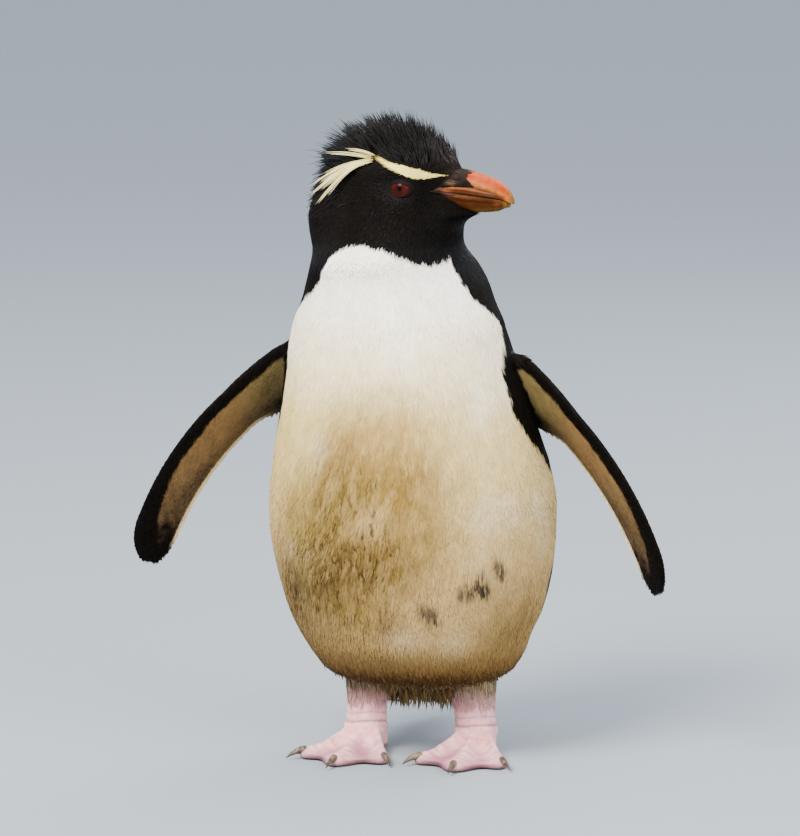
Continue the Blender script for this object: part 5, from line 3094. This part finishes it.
@dataclass(frozen=True)
class Plume:
    """The long yellow feathers that run back from one brow.

    Attributes:
        side: Which brow.
        locks: Each lock's tip in the head's frame in millimetres, how far it bows upward, and
            how many feathers it has.
        root: Where the plume leaves the brow, in the same frame.
        steps: How many points each feather's middle line has.
        thick: How thick a feather is.
    """

    side: Side
    locks: tuple[tuple[Triple, float, int], ...] = (
        ((-33.0, 40.0, 358.5), 11.0, 12),
        ((-38.0, 39.5, 363.0), 8.5, 11),
        ((-40.0, 38.0, 368.5), 6.0, 10),
        ((-34.0, 36.5, 376.0), 4.5, 5),
        ((-30.0, 33.0, 391.0), 2.0, 8),
        ((-16.0, 31.0, 393.0), 1.5, 6),
    )
    steps: int = 16
    thick: float = 0.20 * MM
    root: Triple = (3.0, 28.8, 388.0)
    pale: Colour = (0.88, 0.80, 0.36)
    yellow: Colour = (0.80, 0.66, 0.12)
    white: Colour = (0.90, 0.87, 0.66)

    def build(self) -> bpy.types.Object:
        """Make the plume.

        Returns:
            The piece.
        """
        random = np.random.default_rng(21)
        counts = [lock[2] for lock in self.locks]
        count = sum(counts)
        tips = np.repeat(np.array([lock[0] for lock in self.locks]), counts, axis=0)
        bow = np.repeat(np.array([lock[1] for lock in self.locks]), counts)[:, None]
        share = np.repeat(np.linspace(0.0, 1.0, len(counts)), counts)[:, None]
        start = np.array([self.root]) + np.array([[2.0, -1.0, 4.0]]) * (share - 0.5)
        start = start + random.normal(0.0, 0.40, (count, 3))
        start = start - np.array([[1.0, 0.0, 0.30]]) * random.random((count, 1)) * 5.0
        reach = 0.58 + 0.42 * random.random((count, 1)) ** 0.6
        tip = start + (tips - start) * reach + random.normal(0.0, 0.50, (count, 3))
        middle = start + (tip - start) * 0.5 + UP * bow * reach
        middle = middle + random.normal(0.0, 0.45, (count, 3))
        curves = bend(start, middle, tip, self.steps) * MM
        curves[..., 1] *= self.side.in_head
        facing = unit(HEAD.aim(np.tile([[0.1, self.side.in_head, 0.25]], (count, 1))))
        blend = random.random((count, 1))
        tint = mix(self.pale, self.yellow, blend[:, 0])
        tint = tint * (1.0 - 0.25 * ease(0.25, 0.6, share))
        colours = np.stack([tint * np.array([0.92, 0.90, 0.75]), mix(tint, self.white, 0.45)], axis=1)
        width = (0.86 - 0.28 * share[:, 0]) * MM * (0.75 + 0.5 * random.random(count))
        thick = np.full(count, self.thick)
        strands = Strands(HEAD.place(curves), facing, width, thick, colours, 0.30)
        name = f"brow_plume_{self.side.label}"
        finish = FeatherFinish("feather_plume", (0.45, 0.65), 0.0, 0.12, 0.08)
        return add_piece(name, strands.mesh(name), finish, Slot.PLUME, [f"plume_{self.side.label}"])


@dataclass(frozen=True)
class Tail:
    """The stiff tail feathers, with the small ones that cover their roots.

    Attributes:
        length: The length of the middle feathers.
        root: Where the tail leaves the body, in millimetres.
        tip_height: The height of its tip over the floor.
        half_width: Half its width at the root.
        narrower: How much less that is at the tip.
        arch: How far its middle stands over its sides.
        side_shorter: How much shorter the outermost feathers are, as a share.
        count: How many feathers it has.
        covert_count: How many small ones cover their roots.
        steps: How many points each long one's middle line has.
        width: How wide each long one is.
        thick: How thick it is.
        dark: The long ones' colour.
    """

    length: float = 96.0 * MM
    root: Triple = (0.0, 56.0, 74.0)
    tip_height: float = 7.0 * MM
    half_width: float = 17.0 * MM
    narrower: float = 3.0 * MM
    arch: float = 5.0 * MM
    side_shorter: float = 0.28
    count: int = 15
    covert_count: int = 2600
    steps: int = 18
    width: float = 5.2 * MM
    thick: float = 0.8 * MM
    dark: Colour = (0.016, 0.015, 0.017)

    def axes(self) -> tuple[Array, Array]:
        """Return the directions to the tip and up from the tail."""
        drop = (self.root[2] * MM - self.tip_height) / self.length
        level = math.sqrt(1.0 - drop * drop)
        return np.array([0.0, level, -drop]), np.array([0.0, drop, level])

    def feathers(self) -> bpy.types.Object:
        """Make the long stiff feathers.

        Returns:
            The piece.
        """
        random = np.random.default_rng(31)
        along, lift = self.axes()
        aside = np.linspace(-1.0, 1.0, self.count)
        reach = self.length * (1.0 - self.side_shorter * np.abs(aside) ** 1.3)
        reach = reach * (1.0 - 0.05 * random.random(self.count))
        share = np.linspace(-0.12, 1.0, self.steps)
        wide = (self.half_width - self.narrower * share)[None, :] * aside[:, None]
        layer = np.where(np.arange(self.count) % 2 == 0, 0.55, -0.35) * MM
        high = self.arch * (1.0 - aside**2) + layer
        sag = -1.6 * MM * np.maximum(share, 0.0) ** 2
        curves = (
            np.array(self.root) * MM
            + along * (reach[:, None] * share[None, :])[..., None]
            + ACROSS * wide[..., None]
            + lift * (high[:, None] + sag[None, :])[..., None]
        )
        tone = 0.8 + 0.6 * random.random((self.count, 1))
        dark = np.array(self.dark) * tone
        colours = np.stack([dark, dark * 1.5 + 0.004], axis=1)
        facing = unit(lift + np.outer(aside, ACROSS * 0.25))
        width = np.full(self.count, self.width)
        strands = Strands(curves, facing, width, np.full(self.count, self.thick), colours, 0.2)
        finish = FeatherFinish("feather_tail", (0.40, 0.60), 0.0, 0.16)
        return add_piece("tail_feathers", strands.mesh("tail_feathers"), finish, Slot.HEAD, ["tail"])

    def coverts(self) -> bpy.types.Object:
        """Make the soft feathers over and under the tail's root.

        Returns:
            The piece.
        """
        random = np.random.default_rng(32)
        along, lift = self.axes()
        count = self.covert_count
        share = random.random(count) ** 1.3 * 0.62 - 0.10
        aside = random.uniform(-1.0, 1.0, count)
        above = np.where(random.random(count) < 0.6, 1.0, -1.0)
        bulk = 7.0 * MM * (1.0 - np.clip(share / 0.55, 0.0, 1.0)) + 1.0 * MM
        high = self.arch * (1.0 - aside**2) + above * bulk * np.sqrt(1.0 - aside**2 * 0.85)
        wide = (self.half_width - self.narrower * share + bulk * 0.4) * aside
        roots = (
            np.array(self.root) * MM
            + along * (self.length * share * 0.8)[:, None]
            + ACROSS * wide[:, None]
            + lift * high[:, None]
        )
        normals = unit(lift * above[:, None] + ACROSS * (aside * 0.9)[:, None])
        shades = mix(MARKS.back, MARKS.olive, (above < 0.0) * 1.0)
        shades = shades * (0.75 + 0.7 * random.random((count, 1)))
        made = groom(
            roots,
            normals,
            along + 0.0 * roots,
            (11.0 - 4.0 * share) * MM,
            2.0 * MM,
            np.radians(6.0) + 0.0 * share,
            lambda points: shades,
            random,
            POINTED_LEAF,
        )
        chart = np.stack([aside + 2.2 * (above > 0.0), share], axis=1)
        mesh = made.mesh("coat_tail_coverts", chart)
        return add_piece("coat_tail_coverts", mesh, DARK_FEATHER, Slot.BODY)

    def build(self) -> None:
        """Make the tail's feathers and their coverts."""
        self.feathers()
        self.coverts()


@dataclass(frozen=True)
class Claw:
    """One curved claw with the cuff of skin at its root.

    Attributes:
        limb: The leg that it belongs to.
        toe: Its toe.
        root: The middle of its root, in the design frame.
        pointing: The angle it points at.
        horn: The horn's colour.
        horn_pale: Its paler patches.
        tip_dark: The dark tip and underside.
    """

    limb: LimbForm
    toe: str
    root: Array
    pointing: float
    horn: Colour = (0.075, 0.050, 0.034)
    horn_pale: Colour = (0.210, 0.150, 0.100)
    tip_dark: Colour = (0.014, 0.010, 0.008)

    def build(self) -> bpy.types.Object:
        """Make the claw.

        Returns:
            The piece.
        """
        limb = self.limb
        rows, steps = 30, 20
        run = np.linspace(0.0, 1.0, rows)[:, None]
        turn = circle(steps)[None, :]
        ahead = np.array([math.sin(self.pointing), -math.cos(self.pointing), 0.0])
        aside = np.array([ahead[1], -ahead[0], 0.0])
        radius = limb.claw_radius * (1.0 - 0.86 * run**1.4)
        drop = (self.root[2] - limb.claw_clearance - limb.claw_radius * 0.16) * run**1.8
        arch = 0.9 * MM * np.sin(math.pi * run)
        keel = 1.0 - 0.16 * np.maximum(-np.sin(turn), 0.0)
        middle = self.root + ahead * (limb.claw_length * run)[..., None] + UP * (arch - drop)[..., None]
        wide = radius * 0.78 * np.cos(turn) * keel
        high = radius * 1.02 * np.sin(turn)
        points = middle + aside * wide[..., None] + UP * high[..., None]
        tone = Grain(111).layered(points.reshape(-1, 3), 2.2 * MM)
        colours = mix(self.horn, self.horn_pale, ease(0.42, 0.62, tone))
        tip = ease(0.45, 0.95, run + 0.0 * turn).reshape(-1)
        below = ease(0.2, -0.8, np.sin(turn) + 0.0 * run).reshape(-1)
        colours = mix(colours, self.tip_dark, np.clip(tip * 0.8 + below * 0.4, 0.0, 0.92))
        which = f"{limb.side.label}_{self.toe}"
        mesh = tube_mesh(f"claw_horn_{which}", points, colours)
        return add_piece(f"claw_horn_{which}", mesh, ClawFinish(), Slot.CLAW, [f"claw_{which}"])


@dataclass(frozen=True)
class Studio:
    """The plain floor, the soft lights and the camera.

    Attributes:
        azimuth: Which way round the camera stands, in degrees.
        elevation: How far above the horizon, in degrees.
        distance: How far from the point it looks at.
        view_height: The height that the picture shows at that point.
        off_right: How far right of the origin it looks.
        off_up: How far up it looks.
        sensor: The width of the camera's sensor, in millimetres.
        floor_half: Half the floor's width.
        floor_drop: How far the floor lies under the feet, so that they don't meet it.
        sky: The colour of the light from all round.
        sky_strength: Its strength.
        lights: The name, place, width, power and colour of each soft light.
    """

    azimuth: float = 12.0
    elevation: float = 8.0
    distance: float = 3.0
    view_height: float = 0.5434
    off_right: float = -0.00975
    off_up: float = 0.2158
    sensor: float = 36.0
    floor_half: float = 30.0
    floor_drop: float = 0.2 * MM
    sky: Colour = (0.86, 0.92, 1.0)
    sky_strength: float = 1.45
    lights: tuple[tuple[str, Triple, float, float, Colour], ...] = (
        ("key", (-0.9, -2.1, 2.3), 1.3, 255.0, (1.0, 0.955, 0.89)),
        ("fill", (1.9, -1.6, 1.2), 1.6, 60.0, (1.0, 0.96, 0.91)),
        ("rim", (0.9, 1.9, 1.8), 1.2, 40.0, (0.95, 0.97, 1.0)),
    )

    def camera(self) -> None:
        """Place the camera."""
        turn = math.radians(self.azimuth)
        rise = math.radians(self.elevation)
        right = np.array([math.cos(turn), math.sin(turn), 0.0])
        level = np.array([math.sin(turn), -math.cos(turn), 0.0])
        back = level * math.cos(rise) + UP * math.sin(rise)
        upward = np.cross(back, right)
        aim = right * self.off_right + upward * self.off_up + SHIFT
        data = bpy.data.cameras.new("camera")
        data.sensor_width = self.sensor
        data.lens = self.distance * self.sensor / self.view_height
        data.clip_end = 100.0
        item = bpy.data.objects.new("camera", data)
        item.location = Vector(aim + back * self.distance)
        item.rotation_euler = Vector(-back).to_track_quat("-Z", "Y").to_euler()
        bpy.context.scene.collection.objects.link(item)
        bpy.context.scene.camera = item

    @staticmethod
    def light(name: str, place: Triple, size: float, watts: float, colour: Colour) -> None:
        """Add one soft light that points at the bird.

        Args:
            name: Its name.
            place: Where it stands.
            size: Its width.
            watts: Its power.
            colour: Its colour.
        """
        data = bpy.data.lights.new(name, "AREA")
        data.size = size
        data.energy = watts
        data.color = colour
        item = bpy.data.objects.new(name, data)
        item.location = place
        item.rotation_euler = (Vector((0.0, 0.0, 0.2)) - Vector(place)).to_track_quat("-Z", "Y").to_euler()
        bpy.context.scene.collection.objects.link(item)

    def build(self) -> None:
        """Make the floor, lights, world and camera."""
        half = self.floor_half
        corners = [(-half, -half, 0.0), (half, -half, 0.0), (half, half, 0.0), (-half, half, 0.0)]
        mesh = bpy.data.meshes.new("floor")
        mesh.from_pydata(corners, [], [(0, 1, 2, 3)])
        mesh.materials.append(FloorFinish().build())
        floor = bpy.data.objects.new("floor", mesh)
        floor.location.z = -self.floor_drop
        bpy.context.scene.collection.objects.link(floor)
        floor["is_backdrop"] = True
        world = bpy.context.scene.world or bpy.data.worlds.new("studio")
        bpy.context.scene.world = world
        world.use_nodes = True
        sky = world.node_tree.nodes["Background"]
        sky.inputs["Color"].default_value = (*self.sky, 1.0)
        sky.inputs["Strength"].default_value = self.sky_strength
        for light in self.lights:
            self.light(*light)
        self.camera()


def write_sizes() -> None:
    """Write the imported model's box and the visual model's box, for the builder to compare."""
    boxes = {"cad": CAD_BOX, "visual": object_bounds()}
    plain = {name: [list(corner) for corner in corners] for name, corners in boxes.items()}


def main() -> None:
    """Build every piece of the bird in order, and then the studio."""
    logging.basicConfig(level=logging.INFO, format="%(name)s %(relativeCreated)d ms %(message)s")
    Studio().build()
    skin = Skin()
    skin.build()
    soil = skin.soil()
    regions = skin.regions(soil.middles)
    coat = Coat(soil, regions)
    coat.build()
    Crest(coat.at(Region.HEAD)).build()
    BILL.root_feathers()
    for side in Side:
        Plume(side).build()
        Eye(side).build()
        BILL.gape_skin(side)
        for toe, root, pointing in LIMBS[side].claw_roots():
            Claw(LIMBS[side], toe, root, pointing).build()
    BILL.half(True)
    BILL.half(False)
    Tail().build()
    write_sizes()


if __name__ == "__main__":
    main()
